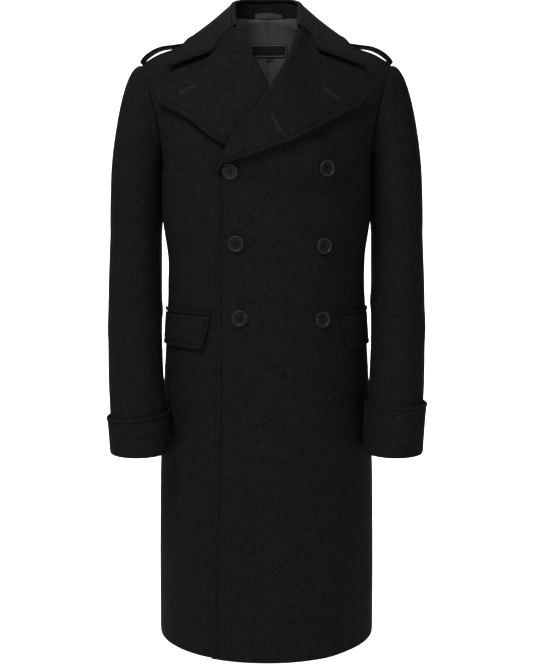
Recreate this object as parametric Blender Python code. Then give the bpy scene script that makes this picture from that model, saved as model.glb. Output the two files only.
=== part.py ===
"""Double-breasted wool overcoat in its worn form, hollow, with nobody in it.

Metres, +Z up, the front faces -Y and the wearer's left is +X. The origin is on the
middle line at the height where the collar sits on the shoulders. Every cloth piece is
a flat grid given a thickness and bent onto the form that the tables below describe.
"""
import bmesh
import bpy
import numpy as np

LEFT, RIGHT = 1, -1

# Walls and seams
SEAM_GAP = 0.0003
WOOL = 0.0024
FOLDED_WOOL = 0.0030
LINING_WALL = 0.0012

# Main heights and widths
HEM_Z = -1.0645
PIT_Z = -0.254
SHOULDER_TIP_X = 0.215
SIDE_SEAM_ANGLE = np.radians(103)
FRONT_EDGE_X = -0.0815
FRONT_EDGE_FLARE = -0.0085

# Skirt and waist, one row a level: height, half width, depth in front, depth behind
BODY = np.array([
    (HEM_Z, 0.1900, 0.186, 0.168),
    (-0.900, 0.1893, 0.176, 0.158),
    (-0.756, 0.1868, 0.166, 0.147),
    (-0.600, 0.1787, 0.158, 0.135),
    (-0.492, 0.1724, 0.152, 0.122),
    (-0.400, 0.1700, 0.149, 0.112),
    (-0.330, 0.1798, 0.150, 0.1245),
    (PIT_Z, 0.1808, 0.150, 0.126),
])

# Shoulder line from the middle of the neck outward: distance from the middle, height
SHOULDER = np.array([
    (-0.030, 0.062),
    (0.000, 0.080),
    (0.030, 0.062),
    (0.050, 0.022),
    (0.072, -0.012),
    (0.100, -0.0262),
    (0.130, -0.0345),
    (0.160, -0.0430),
    (0.185, -0.0515),
    (0.205, -0.0630),
    (SHOULDER_TIP_X, -0.0705),
    (0.240, -0.0920),
])
CHEST_ROUNDING = 1.9
BACK_ROUNDING = 2.2
ARMHOLE_FRONT = 0.066
ARMHOLE_BACK = 0.062
ARMHOLE_BOW = 1.6
FRONT_TURN = np.radians(60)
ARMHOLE_TURN = {-1: 0.57, 1: 1.55}
BACK_NECK_Z = 0.018
RIDGE = 0.9997
NECK_POINT_X = 0.072

# Roll line of each front from the break up to the neck, then to the shoulder seam:
# share of the way up, distance from the middle to the own side, height
ROLL_LEFT = np.array([
    (0.00, -0.0815, PIT_Z),
    (0.25, -0.0480, -0.194),
    (0.45, -0.0180, -0.154),
    (0.62, 0.0075, -0.118),
    (0.78, 0.0310, -0.072),
    (0.90, 0.0440, -0.039),
    (1.00, 0.0500, -0.019),
])
ROLL_RIGHT = np.array([
    (0.00, -0.0815, PIT_Z),
    (0.25, -0.0560, -0.205),
    (0.45, -0.0310, -0.166),
    (0.62, -0.0055, -0.118),
    (0.78, 0.0200, -0.070),
    (0.90, 0.0360, -0.0415),
    (1.00, 0.0490, -0.018),
])
ROLL_ROWS = 0.84
ROLL_SLANT = 1.18

# Lapel outlines, distance to the own side and height: the upper edge from the neck along
# the gorge and notch to the point, then the lower edge from the point to the break
LAPEL_LEFT_TOP = np.array([
    (0.0500, -0.0210),
    (0.0650, -0.0335),
    (0.0775, -0.0575),
    (0.1030, -0.0866),
    (0.1394, -0.1125),
    (0.1635, -0.1310),
])
LAPEL_LEFT_LOW = np.array([
    (0.1635, -0.1310),
    (0.1562, -0.1418),
    (0.1123, -0.1674),
    (0.0462, -0.2025),
    (-0.0186, -0.2275),
    (-0.0735, -0.2445),
])
LAPEL_RIGHT_TOP = np.array([
    (0.0490, -0.0200),
    (0.0640, -0.0330),
    (0.0830, -0.0600),
    (0.1075, -0.0790),
    (0.1399, -0.0905),
    (0.1800, -0.1170),
])
LAPEL_RIGHT_LOW = np.array([
    (0.1800, -0.1170),
    (0.1755, -0.1330),
    (0.1298, -0.1648),
    (0.0779, -0.2050),
    (0.0100, -0.2360),
    (-0.0660, -0.2490),
])
LAPEL_FOLD = 0.0037
LAPEL_REST = 0.0009
LAPEL_SPRING = 0.0030
LEFT_OVER_RIGHT = 0.0038
LEFT_OVER_LAPEL = 0.0096

# Collar from the centre back round to the front: share of the way, fold line x y z,
# outer edge x y z
COLLAR = np.array([
    (0.00, 0.0000, 0.0800, 0.0500, 0.0000, 0.1180, -0.0420),
    (0.25, 0.0420, 0.0640, 0.0480, 0.0800, 0.0860, -0.0370),
    (0.50, 0.0600, 0.0250, 0.0365, 0.1245, 0.0160, -0.0265),
    (0.64, 0.0590, -0.0010, 0.0250, 0.1320, -0.0180, -0.0285),
    (0.80, 0.0555, -0.0330, 0.0060, 0.1480, -0.0480, -0.0500),
    (1.00, 0.0500, -0.0700, -0.0140, 0.1620, -0.0800, -0.0770),
])
# Front edge of the collar along each gorge and on to its point: distance, height
COLLAR_FRONT_LEFT = np.array([
    (0.0503, -0.0150),
    (0.0675, -0.0286),
    (0.0766, -0.0458),
    (0.0796, -0.0526),
    (0.0880, -0.0572),
    (0.1240, -0.0706),
    (0.1620, -0.0836),
])
COLLAR_FRONT_RIGHT = np.array([
    (0.0490, -0.0155),
    (0.0653, -0.0303),
    (0.0800, -0.0510),
    (0.0845, -0.0570),
    (0.0930, -0.0610),
    (0.1260, -0.0730),
    (0.1620, -0.0850),
])
COLLAR_REST = 0.0080
COLLAR_SPRING = 0.0010
COLLAR_BULGE = 0.0015
STAND_END = 0.86
STAND_INSET = 0.0027
STAND_SEAM = 0.0012
STAND_TUCK = 0.0028

# Sleeve below the upper arm, one row a level: height, outer and inner distance from the
# middle, centre depth, half depth
SLEEVE = np.array([
    (-0.360, 0.2735, 0.1832, 0.010, 0.066),
    (-0.475, 0.2752, 0.1820, -0.018, 0.066),
    (-0.545, 0.2730, 0.1800, -0.045, 0.065),
    (-0.612, 0.2692, 0.1750, -0.075, 0.063),
    (-0.665, 0.2638, 0.1690, -0.102, 0.061),
    (-0.7195, 0.2600, 0.1672, -0.116, 0.058),
])
ARM_Z = SLEEVE[0, 0]
WRIST_Z = SLEEVE[-1, 0]
CAP_SHARE = 0.42
CAP_REACH = 0.034
CAP_DROP = 0.150
UNDER_REACH = -0.001
UNDER_DROP = 0.040
UNDER_TUCK = 0.003
FOREARM_SEAM = np.radians(140)
HINDARM_SEAM = np.radians(-112)
SLEEVE_OFF = 0.0011

CUFF_DEEP = {LEFT: 0.083, RIGHT: 0.067}
CUFF_TILT = {LEFT: 0.003, RIGHT: 0.009}
CUFF_OFF = 0.0009
CUFF_FLARE = 0.0022

# Shoulder strap along its length: share from the armhole seam inward, x, height above
# the shoulder, half width
STRAP = np.array([
    (0.00, 0.2138, 0.0008, 0.0235),
    (0.10, 0.2095, 0.0044, 0.0235),
    (0.30, 0.1960, 0.0068, 0.0230),
    (0.55, 0.1760, 0.0056, 0.0222),
    (0.75, 0.1560, 0.0022, 0.0205),
    (0.90, 0.1380, 0.0002, 0.0180),
    (1.00, 0.1240, 0.0002, 0.0090),
])
STRAP_WALL = 0.0030

POCKET_TOP_Z = -0.4830
JET_DEEP = 0.0065
FLAP_DEEP = 0.0560
FLAP_LONG = 0.150
POCKET_FRONT_X = {LEFT: 0.1185, RIGHT: 0.0905}
FLAP_LEAN = 0.013
FLAP_CORNER = 0.010
FLAP_REST = 0.0006
FLAP_SPRING = 0.0008
FLAP_WALL = 0.0022
JET_WALL = 0.0014

# Buttons in pairs from the top: x and z of the edge row, x and z of the far row
BUTTON_PAIRS = (
    ((-0.0578, -0.2522), (0.0965, -0.2480)),
    ((-0.0492, -0.3700), (0.0932, -0.3740)),
    ((-0.0435, -0.4920), (0.0910, -0.4955)),
)
BUTTON_RADIUS = 0.0132
BUTTON_DEEP = 0.0036
BUTTON_RIM = 0.0022
BUTTON_STEPS = 20
BUTTON_SEAT = 0.0009

LINING_LOW_Z = -0.175
LINING_HALF_WIDTH = 0.070
LINING_SEAM_X = 0.003
LOOP_LONG, LOOP_DEEP, LOOP_X, LOOP_Z = 0.051, 0.0105, 0.004, 0.0245
LABEL_LONG, LABEL_DEEP, LABEL_X, LABEL_Z = 0.072, 0.0215, 0.0045, -0.0330
TAB_LONG, TAB_DEEP, TAB_Z = 0.0126, 0.0050, -0.0470
PATCH_WALL = 0.0010

# Colour, roughness and sheen of each material
MATERIALS = {
    "black_wool": ((0.0125, 0.0125, 0.0135), 0.95, 0.25),
    "grey_lining": ((0.040, 0.040, 0.044), 0.55, 0.0),
    "satin_tape": ((0.055, 0.055, 0.060), 0.45, 0.0),
    "dark_button": ((0.022, 0.022, 0.024), 0.35, 0.0),
}


def smooth(at, knots, values):
    """A cubic through the values, with its slopes taken from their neighbours."""
    slopes = np.gradient(values, knots)
    i = np.clip(np.searchsorted(knots, at) - 1, 0, len(knots) - 2)
    step = knots[i + 1] - knots[i]
    t = np.clip((at - knots[i]) / step, 0.0, 1.0)
    rise = (3.0 - 2.0 * t) * t * t
    bend = slopes[i] * (1.0 - t) - slopes[i + 1] * t
    return mix(values[i], values[i + 1], rise) + step * t * (1.0 - t) * bend


def ramp(at, low, high):
    t = np.clip((at - low) / (high - low), 0.0, 1.0)
    return t * t * (3.0 - 2.0 * t)


def mix(a, b, share):
    return a + (b - a) * share


def along(points, share):
    """Points a share of the way along an outline, measured by its length."""
    lengths = np.concatenate([[0.0], np.cumsum(np.hypot(*np.diff(points, axis=0).T))])
    at = np.clip(share, 0.0, 1.0) * lengths[-1]
    return smooth(at, lengths, points[:, 0]), smooth(at, lengths, points[:, 1])


def shoulder_z(x):
    return smooth(np.abs(x), SHOULDER[:, 0], SHOULDER[:, 1])


def girth(z):
    """Half width, half depth and centre of the body's oval at a level below the arms."""
    half_width = smooth(z, BODY[:, 0], BODY[:, 1])
    front = smooth(z, BODY[:, 0], BODY[:, 2])
    back = smooth(z, BODY[:, 0], BODY[:, 3])
    return half_width, (front + back) / 2.0, (back - front) / 2.0


PIT_WIDTH, PIT_DEPTH, PIT_CENTRE = girth(np.array(PIT_Z))
SEAM_X = PIT_WIDTH * np.sin(SIDE_SEAM_ANGLE)
SEAM_Y = PIT_CENTRE - PIT_DEPTH * np.cos(SIDE_SEAM_ANGLE)


def armhole_x(v):
    return SEAM_X + (SHOULDER_TIP_X - SEAM_X) * np.clip(v, 0.0, 1.0) ** ARMHOLE_BOW


def armhole_y(v, facing):
    """Depth of the armhole's edge; facing is -1 on its front half and 1 on its back half."""
    v = np.clip(v, 0.0, 1.0)
    reach = ARMHOLE_FRONT if facing < 0 else ARMHOLE_BACK
    return SEAM_Y * (1.0 - v) + facing * reach * 2.0 * np.sqrt(v * (1.0 - v))


def chest_arc(v, facing):
    """Turn, half width, half depth and centre of the arc from the middle to the armhole."""
    v = np.clip(v, 0.0, 1.0)
    rounding = CHEST_ROUNDING if facing < 0 else BACK_ROUNDING
    full = PIT_DEPTH + facing * PIT_CENTRE
    middle = full * np.maximum(1.0 - v ** rounding, 0.0) ** (1.0 / rounding)
    seam = SIDE_SEAM_ANGLE if facing < 0 else np.pi - SIDE_SEAM_ANGLE
    opening = ARMHOLE_TURN[facing] * np.sqrt(v) * (1.0 - v)
    turn = mix(seam - opening, FRONT_TURN, ramp(v, 0.0, 1.0))
    edge = facing * armhole_y(v, facing)
    half_depth = (middle - edge) / (1.0 - np.cos(turn))
    return turn, armhole_x(v) / np.sin(turn), half_depth, facing * (middle - half_depth)


def skirt_point(share, z, facing):
    """A point of the oval below the arms; share runs from the middle to the side seam."""
    half_width, half_depth, centre = girth(z)
    seam = SIDE_SEAM_ANGLE if facing < 0 else np.pi - SIDE_SEAM_ANGLE
    turn = share * seam
    return np.stack([half_width * np.sin(turn), centre + facing * half_depth * np.cos(turn), z], -1)


def chest_point(share, v, facing):
    """A point above the arms' pit; v runs from the pit to the shoulder seam."""
    turn, half_width, half_depth, centre = chest_arc(v, facing)
    x = half_width * np.sin(share * turn)
    y = centre + facing * half_depth * np.cos(share * turn)
    return np.stack([x, y, PIT_Z + v * (shoulder_z(x) - PIT_Z)], -1)


def level_of(x, z):
    return (z - PIT_Z) / (shoulder_z(x) - PIT_Z)


def chest_share(x, v, facing):
    """Where on the arc at v a distance from the middle lies."""
    turn, half_width, _, _ = chest_arc(v, facing)
    return np.arcsin(np.clip(x / half_width, -0.9999, 0.9999)) / turn


def body_y(x, z, facing):
    """Depth of the body's surface at a distance from the middle and a height."""
    half_width, half_depth, centre = girth(np.minimum(z, PIT_Z))
    low = centre + facing * half_depth * np.sqrt(np.maximum(1.0 - (x / half_width) ** 2, 1e-4))
    v = np.clip(level_of(x, z), 0.0, 0.999)
    _, wide, deep, middle = chest_arc(v, facing)
    high = middle + facing * deep * np.sqrt(np.maximum(1.0 - (x / wide) ** 2, 1e-4))
    return np.where(z < PIT_Z, low, high)


def on_body(x, z, height, facing=-1):
    """The point at x and z on the body, moved out from it by a height."""
    step = 0.0005
    slope_x = (body_y(x + step, z, facing) - body_y(x - step, z, facing)) / (2 * step)
    slope_z = (body_y(x, z + step, facing) - body_y(x, z - step, facing)) / (2 * step)
    out = np.stack([-facing * slope_x, facing * np.ones_like(x), -facing * slope_z], -1)
    out /= np.linalg.norm(out, axis=-1, keepdims=True)
    return np.stack([x, body_y(x, z, facing), z], -1) + out * np.asarray(height)[..., None]


def normals(place, s, v):
    """Normals of a placed sheet, from small steps along it."""
    step = 1e-4
    across = place(np.clip(s + step, 0, 1), v) - place(np.clip(s - step, 0, 1), v)
    up = place(s, np.clip(v + step, 0, 1)) - place(s, np.clip(v - step, 0, 1))
    n = np.cross(across, up)
    return n / np.linalg.norm(n, axis=-1, keepdims=True)


def material(name):
    if name in bpy.data.materials:
        return bpy.data.materials[name]
    colour, roughness, sheen = MATERIALS[name]
    made = bpy.data.materials.new(name)
    made.use_nodes = True
    shader = made.node_tree.nodes["Principled BSDF"]
    shader.inputs["Base Color"].default_value = (*colour, 1.0)
    shader.inputs["Roughness"].default_value = roughness
    shader.inputs["Sheen Weight"].default_value = sheen
    return made


def add_object(name, bm, look, parts):
    bmesh.ops.recalc_face_normals(bm, faces=bm.faces)
    if bm.calc_volume(signed=True) < 0.0:
        bmesh.ops.reverse_faces(bm, faces=bm.faces)
    mesh = bpy.data.meshes.new(name)
    bm.to_mesh(mesh)
    bm.free()
    mesh.materials.append(material(look))
    obj = bpy.data.objects.new(name, mesh)
    parts.objects.link(obj)
    return obj


def cloth(name, parts, columns, rows, place, low, high, look="black_wool", side=LEFT):
    """A flat grid thickened from low to high and bent by place(s, v), mirrored on the right."""
    bm = bmesh.new()
    bmesh.ops.create_grid(bm, x_segments=columns, y_segments=rows, size=0.5)
    made = bmesh.ops.extrude_face_region(bm, geom=bm.faces[:])
    for item in made["geom"]:
        if isinstance(item, bmesh.types.BMVert):
            item.co.z = 1.0
    flat = np.array([vert.co for vert in bm.verts], float)
    s = np.clip(flat[:, 0] + 0.5, 0.0, 1.0)
    v = np.clip(flat[:, 1] + 0.5, 0.0, 1.0)
    out = normals(place, s, v)
    points = place(s, v) + out * mix(low, high, flat[:, 2])[:, None]
    points[:, 0] *= side
    for vert, point in zip(bm.verts, points):
        vert.co = point
    return add_object(name, bm, look, parts)


def name_of(side):
    return "left" if side == LEFT else "right"


def left_lift(x, z):
    """How far the left front stands off the right one that it laps over."""
    lapel_low = np.interp(x, -LAPEL_RIGHT_LOW[:, 0], LAPEL_RIGHT_LOW[:, 1])
    over_lapel = ramp(z, lapel_low - 0.045, lapel_low - 0.008)
    right_edge = np.interp(z, ROLL_RIGHT[:, 2], -ROLL_RIGHT[:, 1])
    covered = ramp(right_edge - x, -0.065, -0.012)
    return covered * (LEFT_OVER_RIGHT + LEFT_OVER_LAPEL * over_lapel)


def front_lift(x, z, side):
    return left_lift(x, z) if side == LEFT else np.zeros_like(x)


def front_place(side):
    """Front from its edge and roll line to the side seam and armhole."""
    roll = ROLL_LEFT if side == LEFT else ROLL_RIGHT
    inset = ROLL_SLANT * (LAPEL_FOLD + FOLDED_WOOL / 2 + WOOL / 2 + SEAM_GAP)
    skirt_rows = 0.55

    def place(s, v):
        z = mix(HEM_Z, PIT_Z, np.clip(v / skirt_rows, 0.0, 1.0))
        half_width, _, _ = girth(z)
        edge = FRONT_EDGE_X + FRONT_EDGE_FLARE * ramp(-z, 0.60, -HEM_Z)
        start = np.arcsin(edge / half_width) / SIDE_SEAM_ANGLE
        end = 1.0 - SEAM_GAP / (half_width * SIDE_SEAM_ANGLE)
        low = skirt_point(mix(start, end, s), z, -1)

        q = np.clip((v - skirt_rows) / (1.0 - skirt_rows), 0.0, 1.0)
        share = np.clip(q / ROLL_ROWS, 0.0, 1.0)
        neck = np.clip((q - ROLL_ROWS) / (1.0 - ROLL_ROWS), 0.0, 1.0)
        x = smooth(share, roll[:, 0], roll[:, 1]) + inset * ramp(share, 0.0, 0.12)
        x = mix(x, NECK_POINT_X, neck)
        z_roll = smooth(share, roll[:, 0], roll[:, 2])
        v_start = mix(level_of(x, z_roll), 1.0, neck)
        v_end = 0.5 - 0.5 * np.cos(np.pi * q)
        level = RIDGE * mix(v_start, v_end, s)
        start = chest_share(x, v_start, -1)
        high = chest_point(mix(start, 1.0 - 0.0006, s), level, -1)
        return np.where((v < skirt_rows)[..., None], low, high)

    def lifted(s, v):
        point = place(s, v)
        lift = front_lift(point[..., 0], point[..., 2], side)
        return point + normals(place, s, v) * lift[..., None]

    return lifted


def neck_seam_z(x):
    """Height of the neck seam across the back, which dips to the shoulder seams."""
    drop = shoulder_z(np.array(NECK_POINT_X)) - BACK_NECK_Z
    return BACK_NECK_Z + drop * (x / NECK_POINT_X) ** 2


def back_place(s, v):
    """Back from the centre seam to the side seam, armhole, shoulder seam and neck."""
    skirt_rows = 0.55
    z = mix(HEM_Z, PIT_Z, np.clip(v / skirt_rows, 0.0, 1.0))
    half_width, _, _ = girth(z)
    seam = np.pi - SIDE_SEAM_ANGLE
    start = SEAM_GAP / 2 / (half_width * seam)
    low = skirt_point(mix(start, 1.0 - 2 * start, s), z, 1)

    q = np.clip((v - skirt_rows) / (1.0 - skirt_rows), 0.0, 1.0)
    x_top = mix(0.0, SHOULDER_TIP_X, s)
    top = np.where(x_top < NECK_POINT_X, level_of(x_top, neck_seam_z(x_top)), 1.0)
    level = RIDGE * (0.5 - 0.5 * np.cos(np.pi * q)) * np.minimum(top, 1.0)
    high = chest_point(mix(0.0008, 1.0 - 0.0006, s), level, 1)
    return np.where((v < skirt_rows)[..., None], low, high)


def back_place_out(s, v):
    """The back with its columns turned round, so that its normals point out."""
    return back_place(1.0 - s, v)


def lapel_place(side):
    """Lapel that turns out of the front along the roll line and lies back on the chest."""
    roll = ROLL_LEFT if side == LEFT else ROLL_RIGHT
    top = LAPEL_LEFT_TOP if side == LEFT else LAPEL_RIGHT_TOP
    low = LAPEL_LEFT_LOW if side == LEFT else LAPEL_RIGHT_LOW
    fold_columns = 0.25
    middle = FOLDED_WOOL / 2 + LAPEL_FOLD

    def roll_at(p):
        share = 1.0 - np.clip(p, 0.0, 1.0) * 0.985
        return smooth(share, roll[:, 0], roll[:, 1]), smooth(share, roll[:, 0], roll[:, 2])

    def place(s, v):
        p = 1.0 - v
        x0, z0 = roll_at(p)
        x1, z1 = roll_at(p - 0.01)
        x2, z2 = roll_at(p + 0.01)
        length = np.hypot(x2 - x1, z2 - z1)
        in_x, in_z = -(z2 - z1) / length, (x2 - x1) / length
        turn = np.pi * np.clip(s / fold_columns, 0.0, 1.0)
        leaf = np.clip((s - fold_columns) / (1.0 - fold_columns), 0.0, 1.0)

        inset = middle - LAPEL_FOLD * np.sin(turn)
        start_x, start_z = x0 + in_x * inset, z0 + in_z * inset
        edge_x, edge_z = along(low, p)
        top_x, top_z = along(top, leaf)
        neck_x, neck_z = roll_at(np.zeros_like(p))
        bow = (1.0 - p) ** 2 * ramp(leaf, 0.0, 0.05)
        x = mix(start_x, edge_x, leaf) + (top_x - mix(neck_x, top[-1, 0], leaf)) * bow
        z = mix(start_z, edge_z, leaf) + (top_z - mix(neck_z, top[-1, 1], leaf)) * bow

        lift = front_lift(x, z, side)
        under = lift - WOOL / 2
        over = under + 2 * LAPEL_FOLD
        hidden = 0.0 if side == LEFT else 0.40
        spring = LAPEL_SPRING * leaf ** 2 * ramp(v, hidden, hidden + 0.30)
        height = np.where(s < fold_columns, mix(under, over, (1.0 - np.cos(turn)) / 2), over) + spring
        height = height + LAPEL_REST
        return on_body(x, z, height)

    return place


def collar_ends(u):
    """Fold line and outer edge of the collar a share of the way from the centre back."""
    cells = [smooth(u, COLLAR[:, 0], COLLAR[:, i]) for i in range(1, 7)]
    return np.stack(cells[:3], -1), np.stack(cells[3:], -1)


def collar_place(s, v):
    """Collar leaf from one front edge round the back to the other, fold line at v = 1."""
    u = np.abs(2.0 * s - 1.0)
    side = np.where(s < 0.5, -1.0, 1.0)
    fold, edge = collar_ends(u)
    drop = 1.0 - v
    point = mix(fold, edge, drop[..., None])
    bulge = COLLAR_BULGE * np.sin(np.pi * drop) * (1.0 - u ** 4)
    point[..., 2] += bulge

    left_x, left_z = along(COLLAR_FRONT_LEFT, drop)
    right_x, right_z = along(COLLAR_FRONT_RIGHT, drop)
    front_x, front_z = np.where(side > 0, (left_x, left_z), (right_x, right_z))
    lying = on_body(front_x, front_z, COLLAR_REST + COLLAR_SPRING * drop ** 2)
    straight = mix(COLLAR[-1, 1:4], COLLAR[-1, 4:7], drop[..., None])
    point = point + (lying - straight) * (u ** 5)[..., None]
    point[..., 0] *= side
    return point


def stand_place(s, v):
    """Collar stand from the neck seam up to just inside the fold line."""
    u = np.abs(2.0 * s - 1.0) * STAND_END
    side = np.where(s < 0.5, -1.0, 1.0)
    fold, _ = collar_ends(u)
    turn = u * np.radians(150)
    inside = np.stack([-np.sin(turn), -np.cos(turn), -0.6 * np.ones_like(u)], -1)
    top = fold + STAND_INSET * inside
    back_x = NECK_POINT_X * np.sin(np.clip(u / 0.52, 0.0, 1.0) * np.pi / 2)
    neck_z = neck_seam_z(back_x)
    neck_y = body_y(back_x, neck_z, 1)
    forward = np.clip((u - 0.52) / 0.48, 0.0, 1.0)
    inset = STAND_SEAM + STAND_TUCK * ramp(u, 0.30, 0.52)
    x = mix(back_x, COLLAR[-1, 1], forward) - inset * np.sin(np.clip(u / 0.52, 0, 1) * np.pi / 2)
    y = mix(neck_y - inset, COLLAR[-1, 2], forward)
    bottom = np.stack([x, y, mix(neck_z, COLLAR[-1, 3], forward) + SEAM_GAP], -1)
    point = mix(bottom, top, v[..., None])
    point[..., 0] *= side
    return point


def sleeve_ring(turn, z):
    outer = smooth(-z, -SLEEVE[:, 0], SLEEVE[:, 1])
    inner = smooth(-z, -SLEEVE[:, 0], SLEEVE[:, 2])
    centre_y = smooth(-z, -SLEEVE[:, 0], SLEEVE[:, 3])
    deep = smooth(-z, -SLEEVE[:, 0], SLEEVE[:, 4])
    x = (outer + inner) / 2 + (outer - inner) / 2 * np.cos(turn)
    return np.stack([x, centre_y - deep * np.sin(turn), z], -1)


def sleeve_point(turn, v):
    """Sleeve surface; turn is 0 outside, a quarter turn in front; v runs down the arm."""
    level = 0.5 + 0.5 * np.cos(turn)
    facing_front = armhole_y(level, -1)
    facing_back = armhole_y(level, 1)
    y = np.where(np.sin(turn) > 0, facing_front, facing_back)
    x = armhole_x(level)
    z = PIT_Z + level * (shoulder_z(x) - PIT_Z)
    off = SLEEVE_OFF + (WOOL + 0.0004) * (1.0 - level)
    head = np.stack([x + off, y, z], -1)
    arm = sleeve_ring(turn, np.full_like(turn, ARM_Z))
    reach = mix(UNDER_REACH, CAP_REACH, level)
    drop = mix(UNDER_DROP, CAP_DROP, level)
    first = head + np.stack([reach, np.zeros_like(reach), 0.16 * reach * level], -1)
    second = arm + np.stack([UNDER_TUCK * (level - 1.0), np.zeros_like(drop), drop], -1)
    t = np.clip(v / CAP_SHARE, 0.0, 1.0)[..., None]
    cap = (head * (1 - t) ** 3 + 3 * first * t * (1 - t) ** 2
           + 3 * second * t * t * (1 - t) + arm * t ** 3)
    down = np.clip((v - CAP_SHARE) / (1.0 - CAP_SHARE), 0.0, 1.0)
    tube = sleeve_ring(turn, mix(ARM_Z, WRIST_Z, down))
    return np.where((v < CAP_SHARE)[..., None], cap, tube)


def top_sleeve_place(s, v):
    gap = SEAM_GAP / 0.06
    return sleeve_point(mix(FOREARM_SEAM - gap, HINDARM_SEAM + gap, s), 1.0 - v)


def under_sleeve_place(s, v):
    gap = SEAM_GAP / 0.06
    return sleeve_point(mix(HINDARM_SEAM + 2 * np.pi - gap, FOREARM_SEAM + gap, s), 1.0 - v)


def cuff_place(side):
    """Turned-back cuff round the sleeve end, open along the hindarm seam."""
    def place(s, v):
        gap = 0.012
        turn = mix(HINDARM_SEAM + 2 * np.pi - gap, HINDARM_SEAM + gap, s)
        top = WRIST_Z + CUFF_DEEP[side] - CUFF_TILT[side] * (0.5 + 0.5 * np.cos(turn))
        z = mix(WRIST_Z - 0.0015, top, v)
        ring = sleeve_ring(turn, z)
        out = np.stack([np.cos(turn), -np.sin(turn), np.zeros_like(turn)], -1)
        return ring + out * (CUFF_OFF + CUFF_FLARE * v ** 2)[..., None]

    return place


def strap_place(s, v):
    """Shoulder strap that stands off the shoulder between its two ends."""
    share = 1.0 - s
    x = smooth(share, STRAP[:, 0], STRAP[:, 1])
    height = smooth(share, STRAP[:, 0], STRAP[:, 2])
    half = smooth(share, STRAP[:, 0], STRAP[:, 3])
    y = mix(-half, half, v) + 0.002
    return np.stack([x, y, shoulder_z(x) + height + SEAM_GAP], -1)


def panel_patch(side, x_start, long, z_low, z_high, lean, corner, height):
    """A patch on a front, from a distance in front round towards the side seam."""
    corner_rows = max(corner, 1e-4) / (z_high - z_low)

    def place(s, v):
        z = mix(z_low, z_high, v)
        half_width, half_depth, centre = girth(z)
        past_corner = np.clip(1.0 - v / corner_rows, 0.0, 1.0)
        rounded = corner * (1.0 - np.sqrt(1.0 - past_corner ** 2))
        start = np.arcsin((x_start + lean * (1.0 - v) + rounded) / half_width)
        end = np.arcsin(x_start / half_width) + long / (half_width + half_depth) * 2.0
        turn = np.where(s < 1e-9, start, mix(start, end, s))
        point = skirt_point(turn / SIDE_SEAM_ANGLE, z, -1)
        out = np.stack([np.sin(turn) / half_width, -np.cos(turn) / half_depth, np.zeros_like(turn)], -1)
        out /= np.linalg.norm(out, axis=-1, keepdims=True)
        lift = front_lift(point[..., 0], point[..., 2], side)
        return point + out * (height(v) + lift)[..., None]

    return place


def add_pocket(parts, side):
    top = POCKET_TOP_Z
    jet = panel_patch(side, POCKET_FRONT_X[side], FLAP_LONG, top - JET_DEEP, top, 0.0, 0.0,
                      lambda v: np.full_like(v, FLAP_REST))
    cloth(f"pocket_jet_{name_of(side)}", parts, 10, 1, jet, 0.0, JET_WALL, side=side)
    flap_top = top - JET_DEEP - SEAM_GAP
    flap = panel_patch(side, POCKET_FRONT_X[side], FLAP_LONG, flap_top - FLAP_DEEP, flap_top, FLAP_LEAN, FLAP_CORNER,
                       lambda v: FLAP_REST + FLAP_SPRING * (1.0 - v))
    cloth(f"pocket_flap_{name_of(side)}", parts, 10, 6, flap, 0.0, FLAP_WALL, side=side)


def add_button(name, parts, x, z, panel):
    """A rimmed button turned about its own axis and seated on the panel's facet."""
    outline = (
        (0.0, 0.0),
        (BUTTON_RADIUS * 0.72, 0.0),
        (BUTTON_RADIUS * 0.97, BUTTON_DEEP * 0.40),
        (BUTTON_RADIUS, BUTTON_DEEP * 0.75),
        (BUTTON_RADIUS - BUTTON_RIM / 2, BUTTON_DEEP),
        (BUTTON_RADIUS - BUTTON_RIM, BUTTON_DEEP * 0.80),
        (BUTTON_RADIUS * 0.55, BUTTON_DEEP * 0.62),
        (0.0, BUTTON_DEEP * 0.62),
    )
    bm = bmesh.new()
    verts = [bm.verts.new((radius, 0.0, high)) for radius, high in outline]
    edges = [bm.edges.new(pair) for pair in zip(verts, verts[1:])]
    bmesh.ops.spin(bm, geom=verts + edges, axis=(0, 0, 1), cent=(0, 0, 0),
                   angle=2 * np.pi, steps=BUTTON_STEPS, use_merge=True)
    bmesh.ops.remove_doubles(bm, verts=bm.verts, dist=1e-5)
    obj = add_object(name, bm, "dark_button", parts)
    start = on_body(np.array(x), np.array(z), np.array(0.02))
    _, seat, normal, _ = panel.closest_point_on_mesh(start)
    obj.rotation_mode = "QUATERNION"
    obj.rotation_quaternion = normal.to_track_quat("Z", "Y")
    obj.location = seat + normal * BUTTON_SEAT
    return obj


def back_inside(x, z, depth):
    return on_body(x, z, -depth, facing=1)


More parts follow.
